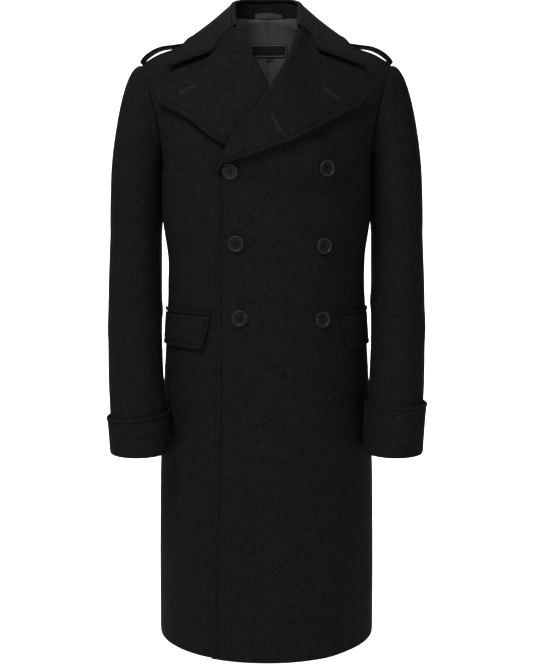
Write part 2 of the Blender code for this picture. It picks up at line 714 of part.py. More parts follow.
def add_inside(parts):
    """What shows inside the neck: lining, hanger loop, plain label and tab."""
    lining_off = WOOL + 0.0019

    def lining(side):
        seam = side * LINING_SEAM_X + SEAM_GAP / 2

        def place(s, v):
            x = mix(seam, LINING_HALF_WIDTH, s)
            return back_inside(x, mix(LINING_LOW_Z, neck_seam_z(x) - 0.004, v), lining_off)

        return place

    for side in (LEFT, RIGHT):
        cloth(f"lining_{name_of(side)}", parts, 7, 7, lining(side), 0.0, LINING_WALL, "grey_lining", side)

    def patch(x, z, long, deep):
        def place(s, v):
            return back_inside(x + (s - 0.5) * long, z + (v - 0.5) * deep,
                               lining_off + LINING_WALL + 0.0012)

        return place

    cloth("neck_label", parts, 6, 1, patch(LABEL_X, LABEL_Z, LABEL_LONG, LABEL_DEEP), 0.0, PATCH_WALL,
          "satin_tape")
    cloth("size_tab", parts, 1, 1, patch(LABEL_X, TAB_Z, TAB_LONG, TAB_DEEP), 0.0, PATCH_WALL, "satin_tape")

    def loop(s, v):
        share = 0.5 + (LOOP_X + (s - 0.5) * LOOP_LONG) / 0.30
        height = (LOOP_Z - BACK_NECK_Z + (v - 0.5) * LOOP_DEEP) / (COLLAR[0, 3] - BACK_NECK_Z)
        point = stand_place(share, height)
        point[..., 1] -= WOOL / 2 + 0.0021
        return point

    cloth("hanger_loop", parts, 6, 1, loop, 0.0, PATCH_WALL, "satin_tape")


def main():
    for obj in list(bpy.data.objects):
        bpy.data.objects.remove(obj, do_unlink=True)
    parts = bpy.data.collections.new("overcoat")
    bpy.context.scene.collection.children.link(parts)

    fronts = {}
    for side in (LEFT, RIGHT):
        which = name_of(side)
        fronts[side] = cloth(f"front_{which}", parts, 15, 24, front_place(side), -WOOL, 0.0, side=side)
        cloth(f"back_{which}", parts, 9, 24, back_place_out, -WOOL, 0.0, side=side)
        cloth(f"lapel_{which}", parts, 12, 9, lapel_place(side), -FOLDED_WOOL / 2, FOLDED_WOOL / 2, side=side)
        cloth(f"top_sleeve_{which}", parts, 12, 16, top_sleeve_place, -WOOL, 0.0, side=side)
        cloth(f"under_sleeve_{which}", parts, 7, 16, under_sleeve_place, -WOOL, 0.0, side=side)
        cloth(f"cuff_{which}", parts, 24, 2, cuff_place(side), 0.0, FOLDED_WOOL, side=side)
        cloth(f"epaulette_{which}", parts, 12, 2, strap_place, 0.0, STRAP_WALL, side=side)
        add_pocket(parts, side)

    cloth("collar_fall", parts, 28, 8, collar_place, -FOLDED_WOOL / 2, FOLDED_WOOL / 2)
    cloth("collar_stand", parts, 20, 2, stand_place, -WOOL / 2, WOOL / 2)
    add_inside(parts)

    bpy.context.view_layer.update()
    places = [place for pair in BUTTON_PAIRS for place in pair]
    for number, (x, z) in enumerate(places, 1):
        add_button(f"button_{number}", parts, x, z, fronts[LEFT])


main()
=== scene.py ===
"""Looks of the double-breasted wool overcoat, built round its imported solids.

Metres, +Z up, the front faces -Y and the wearer's left is +X. Every cloth piece is a
closed shell: a fine grid on the form of its solid, with round rims, sunk stitch lines
and soft folds. The tables of the form are those of the solids, with a few rests, walls
and laps of its own.
"""
import math

import bmesh
import bpy
import numpy as np
from mathutils import Matrix, Vector


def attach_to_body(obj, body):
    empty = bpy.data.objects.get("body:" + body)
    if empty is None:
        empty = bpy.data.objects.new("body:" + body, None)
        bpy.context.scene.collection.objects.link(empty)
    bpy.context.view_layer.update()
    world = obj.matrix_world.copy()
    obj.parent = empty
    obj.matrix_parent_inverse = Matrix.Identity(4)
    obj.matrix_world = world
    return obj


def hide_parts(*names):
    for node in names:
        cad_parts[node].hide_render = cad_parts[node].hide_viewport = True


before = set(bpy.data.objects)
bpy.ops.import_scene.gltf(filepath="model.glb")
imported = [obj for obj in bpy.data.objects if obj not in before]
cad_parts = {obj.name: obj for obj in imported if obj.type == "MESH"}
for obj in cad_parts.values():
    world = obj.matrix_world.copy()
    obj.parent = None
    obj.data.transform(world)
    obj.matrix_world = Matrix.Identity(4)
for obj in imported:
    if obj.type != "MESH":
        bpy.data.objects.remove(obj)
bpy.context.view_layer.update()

LEFT, RIGHT = 1, -1
FRONT, BACK = -1, 1

# Walls, and how far two pieces lap at a seam so that no light shows through
SEAM_LAP = 0.0010
WOOL = 0.0024
FOLDED_WOOL = 0.0030
LINING_WALL = 0.0012

# Main heights and widths
HEM_Z = -1.0645
PIT_Z = -0.254
SHOULDER_TIP_X = 0.215
SIDE_SEAM_ANGLE = np.radians(103)
SIDE_TURN = {FRONT: SIDE_SEAM_ANGLE, BACK: np.pi - SIDE_SEAM_ANGLE}
FRONT_EDGE_X = -0.0815
FRONT_EDGE_FLARE = -0.0085
FLARE_Z = -0.60

# Skirt and waist, one row a level: height, half width, depth in front, depth behind
BODY = np.array([
    (HEM_Z, 0.1900, 0.186, 0.168),
    (-0.900, 0.1893, 0.176, 0.158),
    (-0.756, 0.1868, 0.166, 0.147),
    (-0.600, 0.1787, 0.158, 0.135),
    (-0.492, 0.1724, 0.152, 0.122),
    (-0.400, 0.1700, 0.149, 0.112),
    (-0.330, 0.1798, 0.150, 0.1245),
    (PIT_Z, 0.1808, 0.150, 0.126),
])

# Shoulder line from the middle of the neck outward: distance from the middle, height
SHOULDER = np.array([
    (-0.030, 0.062),
    (0.000, 0.080),
    (0.030, 0.062),
    (0.050, 0.022),
    (0.072, -0.012),
    (0.100, -0.0262),
    (0.130, -0.0345),
    (0.160, -0.0430),
    (0.185, -0.0515),
    (0.205, -0.0630),
    (SHOULDER_TIP_X, -0.0705),
    (0.240, -0.0920),
])
ROUNDING = {FRONT: 1.9, BACK: 2.2}
ARMHOLE_REACH = {FRONT: 0.066, BACK: 0.062}
ARMHOLE_BOW = 1.6
FRONT_TURN = np.radians(60)
ARMHOLE_TURN = {FRONT: 0.57, BACK: 1.55}
ARMHOLE_END = 0.9994
CENTRE_LAP = -0.004
SKIRT_ROWS = 0.55
BACK_NECK_Z = 0.018
RIDGE = 0.9997
NECK_POINT_X = 0.072

# Roll line of each front from the break up to the neck, then to the shoulder seam:
# share of the way up, distance from the middle to the own side, height
ROLL_LEFT = np.array([
    (0.00, -0.0815, PIT_Z),
    (0.25, -0.0480, -0.194),
    (0.45, -0.0180, -0.154),
    (0.62, 0.0075, -0.118),
    (0.78, 0.0310, -0.072),
    (0.90, 0.0440, -0.039),
    (1.00, 0.0500, -0.019),
])
ROLL_RIGHT = np.array([
    (0.00, -0.0815, PIT_Z),
    (0.25, -0.0560, -0.205),
    (0.45, -0.0310, -0.166),
    (0.62, -0.0055, -0.118),
    (0.78, 0.0200, -0.070),
    (0.90, 0.0360, -0.0415),
    (1.00, 0.0490, -0.018),
])
ROLL_ROWS = 0.84
INSET_ROWS = 0.12
ROLL_SLANT = 1.18

# Lapel outlines, distance to the own side and height: the upper edge from the neck along
# the gorge and notch to the point, then the lower edge from the point to the break
LAPEL_LEFT_TOP = np.array([
    (0.0500, -0.0210),
    (0.0650, -0.0335),
    (0.0775, -0.0575),
    (0.1030, -0.0866),
    (0.1394, -0.1125),
    (0.1635, -0.1310),
])
LAPEL_LEFT_LOW = np.array([
    (0.1635, -0.1310),
    (0.1562, -0.1418),
    (0.1123, -0.1674),
    (0.0462, -0.2025),
    (-0.0186, -0.2275),
    (-0.0735, -0.2445),
])
LAPEL_RIGHT_TOP = np.array([
    (0.0490, -0.0200),
    (0.0640, -0.0330),
    (0.0830, -0.0600),
    (0.1075, -0.0790),
    (0.1399, -0.0905),
    (0.1800, -0.1170),
])
LAPEL_RIGHT_LOW = np.array([
    (0.1800, -0.1170),
    (0.1755, -0.1330),
    (0.1298, -0.1648),
    (0.0779, -0.2050),
    (0.0100, -0.2360),
    (-0.0660, -0.2490),
])
LAPEL_FOLD = 0.0037
LAPEL_REST = 0.0009
LAPEL_SPRING = 0.0030
LEFT_OVER_RIGHT = 0.0038
LEFT_OVER_LAPEL = 0.0096
# Where the left front starts and ends its rise over the right lapel's edge and the right front
LAPEL_RISE = (-0.045, -0.008)
FRONT_RISE = (-0.065, -0.012)
# Share of a lapel's columns in its fold, of its roll line that it uses, and where its leaf springs up
FOLD_COLUMNS = 0.25
ROLL_USED = 0.985
SPRING_START = {LEFT: 0.0, RIGHT: 0.40}
SPRING_ROWS = 0.30

# Collar from the centre back round to the front: share of the way, fold line x y z,
# outer edge x y z
COLLAR = np.array([
    (0.00, 0.0000, 0.0800, 0.0500, 0.0000, 0.1180, -0.0420),
    (0.25, 0.0420, 0.0640, 0.0480, 0.0800, 0.0860, -0.0370),
    (0.50, 0.0600, 0.0250, 0.0365, 0.1245, 0.0160, -0.0265),
    (0.64, 0.0590, -0.0010, 0.0250, 0.1320, -0.0180, -0.0285),
    (0.80, 0.0555, -0.0330, 0.0060, 0.1480, -0.0480, -0.0500),
    (1.00, 0.0500, -0.0700, -0.0140, 0.1620, -0.0800, -0.0770),
])
# Front edge of the collar along each gorge and on to its point: distance, height
COLLAR_FRONT_LEFT = np.array([
    (0.0503, -0.0150),
    (0.0675, -0.0286),
    (0.0766, -0.0458),
    (0.0796, -0.0526),
    (0.0880, -0.0572),
    (0.1240, -0.0706),
    (0.1620, -0.0836),
])
COLLAR_FRONT_RIGHT = np.array([
    (0.0490, -0.0155),
    (0.0653, -0.0303),
    (0.0800, -0.0510),
    (0.0845, -0.0570),
    (0.0930, -0.0610),
    (0.1260, -0.0730),
    (0.1620, -0.0850),
])
COLLAR_REST = 0.0080
COLLAR_SPRING = 0.0010
COLLAR_BULGE = 0.0015
STAND_END = 0.86
STAND_INSET = 0.0027
STAND_SEAM = 0.0012
STAND_TUCK = 0.0028
STAND_TUCK_START = 0.30
STAND_BACK = 0.52
STAND_SLOPE = 0.6
COLLAR_WRAP = np.radians(150)

# Sleeve below the upper arm, one row a level: height, outer and inner distance from the
# middle, centre depth, half depth
SLEEVE = np.array([
    (-0.360, 0.2735, 0.1832, 0.010, 0.066),
    (-0.475, 0.2752, 0.1820, -0.018, 0.066),
    (-0.545, 0.2730, 0.1800, -0.045, 0.065),
    (-0.612, 0.2692, 0.1750, -0.075, 0.063),
    (-0.665, 0.2638, 0.1690, -0.102, 0.061),
    (-0.7195, 0.2600, 0.1672, -0.116, 0.058),
])
ARM_Z = SLEEVE[0, 0]
WRIST_Z = SLEEVE[-1, 0]
CAP_SHARE = 0.42
CAP_REACH = 0.034
CAP_DROP = 0.150
CAP_RISE = 0.16
UNDER_REACH = -0.001
UNDER_DROP = 0.040
UNDER_TUCK = 0.003
FOREARM_SEAM = np.radians(140)
HINDARM_SEAM = np.radians(-112)
SLEEVE_OFF = -0.0012
UNDER_OFF = WOOL + 0.0004
SLEEVE_RADIUS = 0.06

CUFF_DEEP = {LEFT: 0.083, RIGHT: 0.067}
CUFF_TILT = {LEFT: 0.003, RIGHT: 0.009}
CUFF_OFF = 0.0009
CUFF_FLARE = 0.0022
CUFF_OPENING = 0.012
CUFF_HANG = 0.0015

# Shoulder strap along its length: share from the armhole seam inward, x, height above
# the shoulder, half width
STRAP = np.array([
    (0.00, 0.2138, 0.0008, 0.0235),
    (0.10, 0.2095, 0.0044, 0.0235),
    (0.30, 0.1960, 0.0068, 0.0230),
    (0.55, 0.1760, 0.0056, 0.0222),
    (0.75, 0.1560, 0.0022, 0.0205),
    (0.90, 0.1380, 0.0002, 0.0180),
    (1.00, 0.1240, 0.0002, 0.0090),
])
STRAP_WALL = 0.0030
STRAP_Y = 0.002

POCKET_TOP_Z = -0.4830
JET_DEEP = 0.0065
FLAP_DEEP = 0.0560
FLAP_LONG = 0.150
POCKET_FRONT_X = {LEFT: 0.1185, RIGHT: 0.0905}
FLAP_LEAN = 0.013
FLAP_CORNER = 0.010
FLAP_REST = 0.0006
FLAP_SPRING = 0.0008
FLAP_LIFT = 0.0048
FLAP_WALL = 0.0022
JET_WALL = 0.0014
JET_ROLL = 0.0018
JET_GAP = 0.0014

# Buttons in pairs from the top: x and z of the edge row, x and z of the far row
BUTTON_PAIRS = (
    ((-0.0578, -0.2522), (0.0965, -0.2480)),
    ((-0.0492, -0.3700), (0.0932, -0.3740)),
    ((-0.0435, -0.4920), (0.0910, -0.4955)),
)
BUTTON_RADIUS = 0.0132
BUTTON_DEEP = 0.0036
BUTTON_RIM = 0.0018

LINING_LOW_Z = -0.175
LINING_HALF_WIDTH = 0.070
LINING_SEAM_X = 0.003
LOOP_LONG, LOOP_DEEP, LOOP_X, LOOP_Z = 0.051, 0.0100, 0.004, 0.0250
LABEL_LONG, LABEL_DEEP, LABEL_X, LABEL_Z = 0.072, 0.0215, 0.0045, -0.0330
TAB_LONG, TAB_DEEP, TAB_Z = 0.0126, 0.0050, -0.0470
PATCH_WALL = 0.0010

# Soft folds of the body: side of the coat, x, height, half length, half width, slant in
# degrees from upright, how far it stands out
FOLDS = (
    (FRONT, -0.128, -0.760, 0.230, 0.030, 3, 0.0034),
    (FRONT, -0.052, -0.840, 0.190, 0.042, -2, 0.0020),
    (FRONT, 0.040, -0.800, 0.240, 0.036, 2, 0.0024),
    (FRONT, 0.122, -0.830, 0.210, 0.034, -4, 0.0036),
    (FRONT, 0.128, -0.395, 0.050, 0.014, 62, 0.0016),
    (FRONT, -0.132, -0.415, 0.055, 0.015, -56, 0.0018),
    (FRONT, 0.120, -0.300, 0.060, 0.016, 24, 0.0016),
    (FRONT, -0.128, -0.318, 0.055, 0.018, -30, 0.0017),
    (FRONT, 0.030, -0.600, 0.120, 0.030, -8, 0.0014),
    (BACK, -0.118, -0.800, 0.260, 0.034, 2, 0.0046),
    (BACK, -0.048, -0.860, 0.220, 0.030, -3, 0.0030),
    (BACK, 0.036, -0.830, 0.250, 0.036, 2, 0.0034),
    (BACK, 0.112, -0.780, 0.240, 0.032, -4, 0.0050),
    (BACK, 0.104, -0.330, 0.080, 0.018, 34, 0.0024),
    (BACK, -0.110, -0.345, 0.085, 0.020, -30, 0.0026),
    (BACK, 0.060, -0.430, 0.060, 0.014, 70, 0.0018),
    (BACK, -0.052, -0.452, 0.065, 0.016, -66, 0.0020),
)

# Creases of the sleeves: side, turn in degrees from outside to front, height, half length,
# half width, slant in degrees from upright, how far it stands out
SLEEVE_FOLDS = (
    (LEFT, 62, -0.395, 0.060, 0.012, 28, 0.0022),
    (LEFT, 100, -0.470, 0.046, 0.010, 58, 0.0026),
    (LEFT, 84, -0.512, 0.050, 0.009, 66, -0.0018),
    (LEFT, 40, -0.545, 0.060, 0.013, 40, 0.0020),
    (LEFT, -60, -0.430, 0.080, 0.016, -24, 0.0026),
    (LEFT, 175, -0.480, 0.050, 0.012, -60, 0.0018),
    (LEFT, 30, -0.270, 0.080, 0.018, 14, 0.0018),
    (RIGHT, 70, -0.380, 0.055, 0.011, 32, 0.0020),
    (RIGHT, 96, -0.455, 0.050, 0.011, 54, 0.0028),
    (RIGHT, 78, -0.498, 0.048, 0.009, 62, -0.0019),
    (RIGHT, 48, -0.560, 0.055, 0.012, 36, 0.0022),
    (RIGHT, -52, -0.450, 0.090, 0.015, -20, 0.0024),
    (RIGHT, 170, -0.500, 0.050, 0.012, -56, 0.0018),
    (RIGHT, 24, -0.255, 0.070, 0.017, 18, 0.0016),
)
ARM_RADIUS = 0.055

# Finish of the shells
GRID_STEP = 0.0045
FINE_STEP = 0.0028
TRIM_STEP = 0.0015
RIM_SOFT = 1.35
EDGE_SHARE = 0.45
RIM_ANGLES = np.radians([0.0, 22.0, 45.0, 68.0, 90.0])
STITCH_LONG = 0.0044
STITCH_PITCH = 0.0048
THREAD = 0.0007
SEAM_DIP = 0.0006
SEAM_WIDE = 0.0040
LEAF_EXTRA = 0.0013
COLLAR_ROLL = 0.0027
COLLAR_ROLL_ROWS = 0.10
COLLAR_SINK = 0.0025
PUFF = 0.8

# Stitch lines along edges: distance from the edge, depth and half width of the groove
EDGE_LINE = {
    "jet": (0.0012, 0.0008, 0.0006),
    "front": (0.0088, 0.0024, 0.0017),
    "lapel": (0.0085, 0.0006, 0.0009),
    "collar": (0.0072, 0.0012, 0.0008),
    "flap": (0.0080, 0.0013, 0.0008),
    "cuff": (0.0078, 0.0013, 0.0008),
    "strap": (0.0055, 0.0008, 0.0008),
}

# Buttonholes of the lapels: x and z of the eyelet, x and z of the tail
BUTTONHOLES = {
    "lapel_left": (((0.1159, -0.1344), (0.0936, -0.1182)), ((0.0203, -0.1870), (0.0089, -0.1638))),
    "lapel_right": (((-0.1382, -0.1230), (-0.1175, -0.1130)), ((-0.0517, -0.1935), (-0.0284, -0.1676))),
}
PURL = 0.00065
SLIT = 0.0011
SLIT_LIFT = 0.0001
EYELET = 0.0026

# Rounding of the points, and the lining, the patches sewn on it and the loop
LAPEL_POINT_ROUND = {LEFT: 0.003, RIGHT: 0.004}
COLLAR_POINT_ROUND = 0.005
STAND_SHOWN = 0.93
LINING_TOP = 0.001
LINING_TURN = 0.85
LINING_LEVEL_X = 0.056
LINING_LEAN = 0.2
LINING_GAP = 0.0006
LINING_OFF = WOOL + 0.0019
PATCH_OFF = 0.0012
LOOP_SPAN = 0.365
LOOP_OFF = 0.0021
LOOP_BOW = 0.0016
BORDER_IN = 0.0016
BORDER_THREAD = 0.0004

# Buttons: how each is turned, how it stands off, its thread, the height of its face, and the share of its
# radius beyond which it is painted lighter as a highlight
BUTTON_SPINS = (8, 3, -4, 5, 2, -3)
BUTTON_LIFT = 0.0020
BUTTON_THREAD = 0.00020
HOLE_FILL = 0.0013
BUTTON_FACE = 0.50
BUTTON_HIGHLIGHT_START = 0.80
# Turned profile of a button below and inside its rim: share of the radius, share of the height
BUTTON_BASE = ((0.00, 0.00), (0.70, 0.00), (0.90, 0.16), (0.98, 0.42))
BUTTON_DISH = ((0.82, 0.50), (0.78, 0.43), (0.73, 0.46), (0.66, 0.56), (0.58, 0.56), (0.45, 0.53),
               (0.30, 0.51), (0.0, BUTTON_FACE))
HOLE_RADIUS = 0.0015
HOLE_AT = 0.0023
HOLES = ((HOLE_AT, HOLE_AT), (-HOLE_AT, HOLE_AT), (-HOLE_AT, -HOLE_AT), (HOLE_AT, -HOLE_AT))

# Studio: size of the sweep, lights with place, target, size, watts and spread in degrees, and the camera
FLOOR_Z = HEM_Z - 0.22
STAGE_NEAR, STAGE_BEND, STAGE_ROUND, STAGE_HIGH, STAGE_WIDE = 4.5, 4.6, 1.2, 5.0, 3.4
STAGE_GLOW = 0.25
WORLD_STRENGTH = 0.20
LIGHTS = (
    ("key", (-0.95, -1.7, 1.8), (0.0, 0.0, -0.5), 1.1, 96.0, 180),
    ("fill", (0.8, -3.0, -0.2), (0.0, 0.0, -0.6), 2.0, 30.0, 180),
    ("back", (0.0, 2.3, 2.1), (0.0, 0.0, -0.4), 1.2, 24.0, 180),
    ("sweep", (0.0, 2.9, 3.0), (0.0, 3.6, -1.0), 3.0, 230.0, 110),
)
CAMERA_AT = (0.0, -2.2, -0.288)
CAMERA_DOWN = 6.36
SENSOR = 36.0
LENS = SENSOR * 1256 / 666


def smooth(at, knots, values):
    """A cubic through the values, with its slopes taken from their neighbours."""
    slopes = np.gradient(values, knots)
    i = np.clip(np.searchsorted(knots, at) - 1, 0, len(knots) - 2)
    step = knots[i + 1] - knots[i]
    t = unit((at - knots[i]) / step)
    rise = (3.0 - 2.0 * t) * t * t
    bend = slopes[i] * (1.0 - t) - slopes[i + 1] * t
    return mix(values[i], values[i + 1], rise) + step * t * (1.0 - t) * bend


def unit(share):
    return np.clip(share, 0.0, 1.0)


def ramp(at, low, high):
    t = unit((at - low) / (high - low))
    return t * t * (3.0 - 2.0 * t)


def mix(a, b, share):
    return a + (b - a) * share


def xyz(x, y, z):
    return np.stack(np.broadcast_arrays(x, y, z), -1)


def direction(vectors):
    return vectors / np.linalg.norm(vectors, axis=-1, keepdims=True)


def distances(points):
    """How far along a line each of its points lies."""
    return np.concatenate([[0.0], np.cumsum(np.linalg.norm(np.diff(points, axis=0), axis=1))])


def read(table, at, *columns):
    """Columns of a table, smoothed over its first one."""
    return [smooth(at, table[:, 0], table[:, column]) for column in columns]


def along(points, share):
    """Points a share of the way along an outline, measured by its length."""
    lengths = distances(points)
    at = unit(share) * lengths[-1]
    return smooth(at, lengths, points[:, 0]), smooth(at, lengths, points[:, 1])


def shoulder_z(x):
    return read(SHOULDER, np.abs(x), 1)[0]


def girth(z):
    """Half width, half depth and centre of the body's oval at a level below the arms."""
    half_width, front, back = read(BODY, z, 1, 2, 3)
    return half_width, (front + back) / 2.0, (back - front) / 2.0


PIT_WIDTH, PIT_DEPTH, PIT_CENTRE = girth(np.array(PIT_Z))
SEAM_X = PIT_WIDTH * np.sin(SIDE_SEAM_ANGLE)
SEAM_Y = PIT_CENTRE - PIT_DEPTH * np.cos(SIDE_SEAM_ANGLE)


def armhole_x(v):
    return SEAM_X + (SHOULDER_TIP_X - SEAM_X) * unit(v) ** ARMHOLE_BOW


def armhole_y(v, facing):
    """Depth of the armhole's edge, on its half towards the front or the back."""
    v = unit(v)
    return SEAM_Y * (1.0 - v) + facing * ARMHOLE_REACH[facing] * 2.0 * np.sqrt(v * (1.0 - v))


def chest_arc(v, facing):
    """Turn, half width, half depth and centre of the arc from the middle to the armhole."""
    v = unit(v)
    rounding = ROUNDING[facing]
    full = PIT_DEPTH + facing * PIT_CENTRE
    middle = full * np.maximum(1.0 - v ** rounding, 0.0) ** (1.0 / rounding)
    opening = ARMHOLE_TURN[facing] * np.sqrt(v) * (1.0 - v)
    turn = mix(SIDE_TURN[facing] - opening, FRONT_TURN, ramp(v, 0.0, 1.0))
    edge = facing * armhole_y(v, facing)
    half_depth = (middle - edge) / (1.0 - np.cos(turn))
    return turn, armhole_x(v) / np.sin(turn), half_depth, facing * (middle - half_depth)


def skirt_point(share, z, facing):
    """A point of the oval below the arms; share runs from the middle to the side seam."""
    half_width, half_depth, centre = girth(z)
    turn = share * SIDE_TURN[facing]
    return xyz(half_width * np.sin(turn), centre + facing * half_depth * np.cos(turn), z)


def chest_point(share, v, facing):
    """A point above the arms' pit; v runs from the pit to the shoulder seam."""
    turn, half_width, half_depth, centre = chest_arc(v, facing)
    x = half_width * np.sin(share * turn)
    y = centre + facing * half_depth * np.cos(share * turn)
    return xyz(x, y, PIT_Z + v * (shoulder_z(x) - PIT_Z))


def level_of(x, z):
    return (z - PIT_Z) / (shoulder_z(x) - PIT_Z)


def chest_share(x, v, facing):
    """Where on the arc at v a distance from the middle lies."""
    turn, half_width, _, _ = chest_arc(v, facing)
    return np.arcsin(np.clip(x / half_width, -0.9999, 0.9999)) / turn


def body_y(x, z, facing):
    """Depth of the body's surface at a distance from the middle and a height."""
    half_width, half_depth, centre = girth(np.minimum(z, PIT_Z))
    low = centre + facing * half_depth * np.sqrt(np.maximum(1.0 - (x / half_width) ** 2, 1e-4))
    v = np.clip(level_of(x, z), 0.0, 0.999)
    _, wide, deep, middle = chest_arc(v, facing)
    high = middle + facing * deep * np.sqrt(np.maximum(1.0 - (x / wide) ** 2, 1e-4))
    return np.where(z < PIT_Z, low, high)


def on_body(x, z, height, facing=FRONT):
    """The point at x and z on the body, moved out from it by a height."""
    step = 0.0005
    slope_x = (body_y(x + step, z, facing) - body_y(x - step, z, facing)) / (2 * step)
    slope_z = (body_y(x, z + step, facing) - body_y(x, z - step, facing)) / (2 * step)
    out = xyz(-facing * slope_x, facing, -facing * slope_z)
    out = direction(out)
    return xyz(x, body_y(x, z, facing), z) + out * np.asarray(height)[..., None]


def normals(place, s, v):
    """Normals of a placed sheet, from small steps along it."""
    step = 1e-4
    across = place(unit(s + step), v) - place(unit(s - step), v)
    up = place(s, unit(v + step)) - place(s, unit(v - step))
    n = np.cross(across, up)
    return direction(n)


def name_of(side):
    return "left" if side == LEFT else "right"


def left_lift(x, z):
    """How far the left front stands off the right one that it laps over."""
    lapel_low = np.interp(x, -LAPEL_RIGHT_LOW[:, 0], LAPEL_RIGHT_LOW[:, 1])
    over_lapel = ramp(z - lapel_low, *LAPEL_RISE)
    right_edge = np.interp(z, ROLL_RIGHT[:, 2], -ROLL_RIGHT[:, 1])
    covered = ramp(right_edge - x, *FRONT_RISE)
    return covered * (LEFT_OVER_RIGHT + LEFT_OVER_LAPEL * over_lapel)


def front_lift(x, z, side):
    return left_lift(x, z) if side == LEFT else np.zeros_like(x)


def front_place(side):
    """Front from its edge and roll line to the side seam and armhole."""
    roll = ROLL_LEFT if side == LEFT else ROLL_RIGHT
    inset = ROLL_SLANT * (LAPEL_FOLD + FOLDED_WOOL / 2 + WOOL / 2)

    def place(s, v):
        z = mix(HEM_Z, PIT_Z, unit(v / SKIRT_ROWS))
        half_width, _, _ = girth(z)
        edge = FRONT_EDGE_X + FRONT_EDGE_FLARE * ramp(-z, -FLARE_Z, -HEM_Z)
        start = np.arcsin(edge / half_width) / SIDE_SEAM_ANGLE
        end = 1.0 + SEAM_LAP / (half_width * SIDE_SEAM_ANGLE)
        low = skirt_point(mix(start, end, s), z, FRONT)

        q = unit((v - SKIRT_ROWS) / (1.0 - SKIRT_ROWS))
        share = unit(q / ROLL_ROWS)
        neck = unit((q - ROLL_ROWS) / (1.0 - ROLL_ROWS))
        x_roll, z_roll = read(roll, share, 1, 2)
        x = mix(x_roll + inset * ramp(share, 0.0, INSET_ROWS), NECK_POINT_X, neck)
        v_start = mix(level_of(x, z_roll), 1.0, neck)
        v_end = 0.5 - 0.5 * np.cos(np.pi * q)
        level = RIDGE * mix(v_start, v_end, s)
        start = chest_share(x, v_start, FRONT)
        high = chest_point(mix(start, ARMHOLE_END, s), level, FRONT)
        return np.where((v < SKIRT_ROWS)[..., None], low, high)

    def lifted(s, v):
        point = place(s, v)
        lift = front_lift(point[..., 0], point[..., 2], side)
        return point + normals(place, s, v) * lift[..., None]

    return lifted


def neck_seam_z(x):
    """Height of the neck seam across the back, which dips to the shoulder seams."""
    drop = shoulder_z(np.array(NECK_POINT_X)) - BACK_NECK_Z
    return BACK_NECK_Z + drop * (x / NECK_POINT_X) ** 2


def back_place(s, v):
    """Back from the centre seam to the side seam, armhole, shoulder seam and neck."""
    z = mix(HEM_Z, PIT_Z, unit(v / SKIRT_ROWS))
    half_width, _, _ = girth(z)
    lap = SEAM_LAP / 2 / (half_width * SIDE_TURN[BACK])
    low = skirt_point(mix(-lap, 1.0 + 2 * lap, s), z, BACK)

    q = unit((v - SKIRT_ROWS) / (1.0 - SKIRT_ROWS))
    x_top = mix(0.0, SHOULDER_TIP_X, s)
    top = np.where(x_top < NECK_POINT_X, level_of(x_top, neck_seam_z(x_top)), 1.0)
    level = RIDGE * (0.5 - 0.5 * np.cos(np.pi * q)) * np.minimum(top, 1.0)
    high = chest_point(mix(CENTRE_LAP, ARMHOLE_END, s), level, BACK)
    return np.where((v < SKIRT_ROWS)[..., None], low, high)


def back_place_out(s, v):
    """The back with its columns turned round, so that its normals point out."""
    return back_place(1.0 - s, v)


def lapel_place(side):
    """Lapel that turns out of the front along the roll line and lies back on the chest."""
    roll = ROLL_LEFT if side == LEFT else ROLL_RIGHT
    top = LAPEL_LEFT_TOP if side == LEFT else LAPEL_RIGHT_TOP
    low = LAPEL_LEFT_LOW if side == LEFT else LAPEL_RIGHT_LOW
    middle = FOLDED_WOOL / 2 + LAPEL_FOLD

    def roll_at(p):
        return read(roll, 1.0 - unit(p) * ROLL_USED, 1, 2)

    def place(s, v):
        p = 1.0 - v
        x0, z0 = roll_at(p)
        x1, z1 = roll_at(p - 0.01)
        x2, z2 = roll_at(p + 0.01)
        length = np.hypot(x2 - x1, z2 - z1)
        in_x, in_z = -(z2 - z1) / length, (x2 - x1) / length
        turn = np.pi * unit(s / FOLD_COLUMNS)
        leaf = unit((s - FOLD_COLUMNS) / (1.0 - FOLD_COLUMNS))

        inset = middle - LAPEL_FOLD * np.sin(turn)
        start_x, start_z = x0 + in_x * inset, z0 + in_z * inset
        edge_x, edge_z = along(low, p)
        top_x, top_z = along(top, leaf)
        neck_x, neck_z = roll_at(np.zeros_like(p))
        bow = (1.0 - p) ** 2 * ramp(leaf, 0.0, 0.05)
        x = mix(start_x, edge_x, leaf) + (top_x - mix(neck_x, top[-1, 0], leaf)) * bow
        z = mix(start_z, edge_z, leaf) + (top_z - mix(neck_z, top[-1, 1], leaf)) * bow

        lift = front_lift(x, z, side)
        under = lift - WOOL / 2
        over = under + 2 * LAPEL_FOLD
        spring = LAPEL_SPRING * leaf ** 2 * ramp(v - SPRING_START[side], 0.0, SPRING_ROWS)
        height = np.where(s < FOLD_COLUMNS, mix(under, over, (1.0 - np.cos(turn)) / 2), over) + spring
        return on_body(x, z, height + LAPEL_REST)

    return place


def collar_ends(u):
    """Fold line and outer edge of the collar a share of the way from the centre back."""
    return xyz(*read(COLLAR, u, 1, 2, 3)), xyz(*read(COLLAR, u, 4, 5, 6))


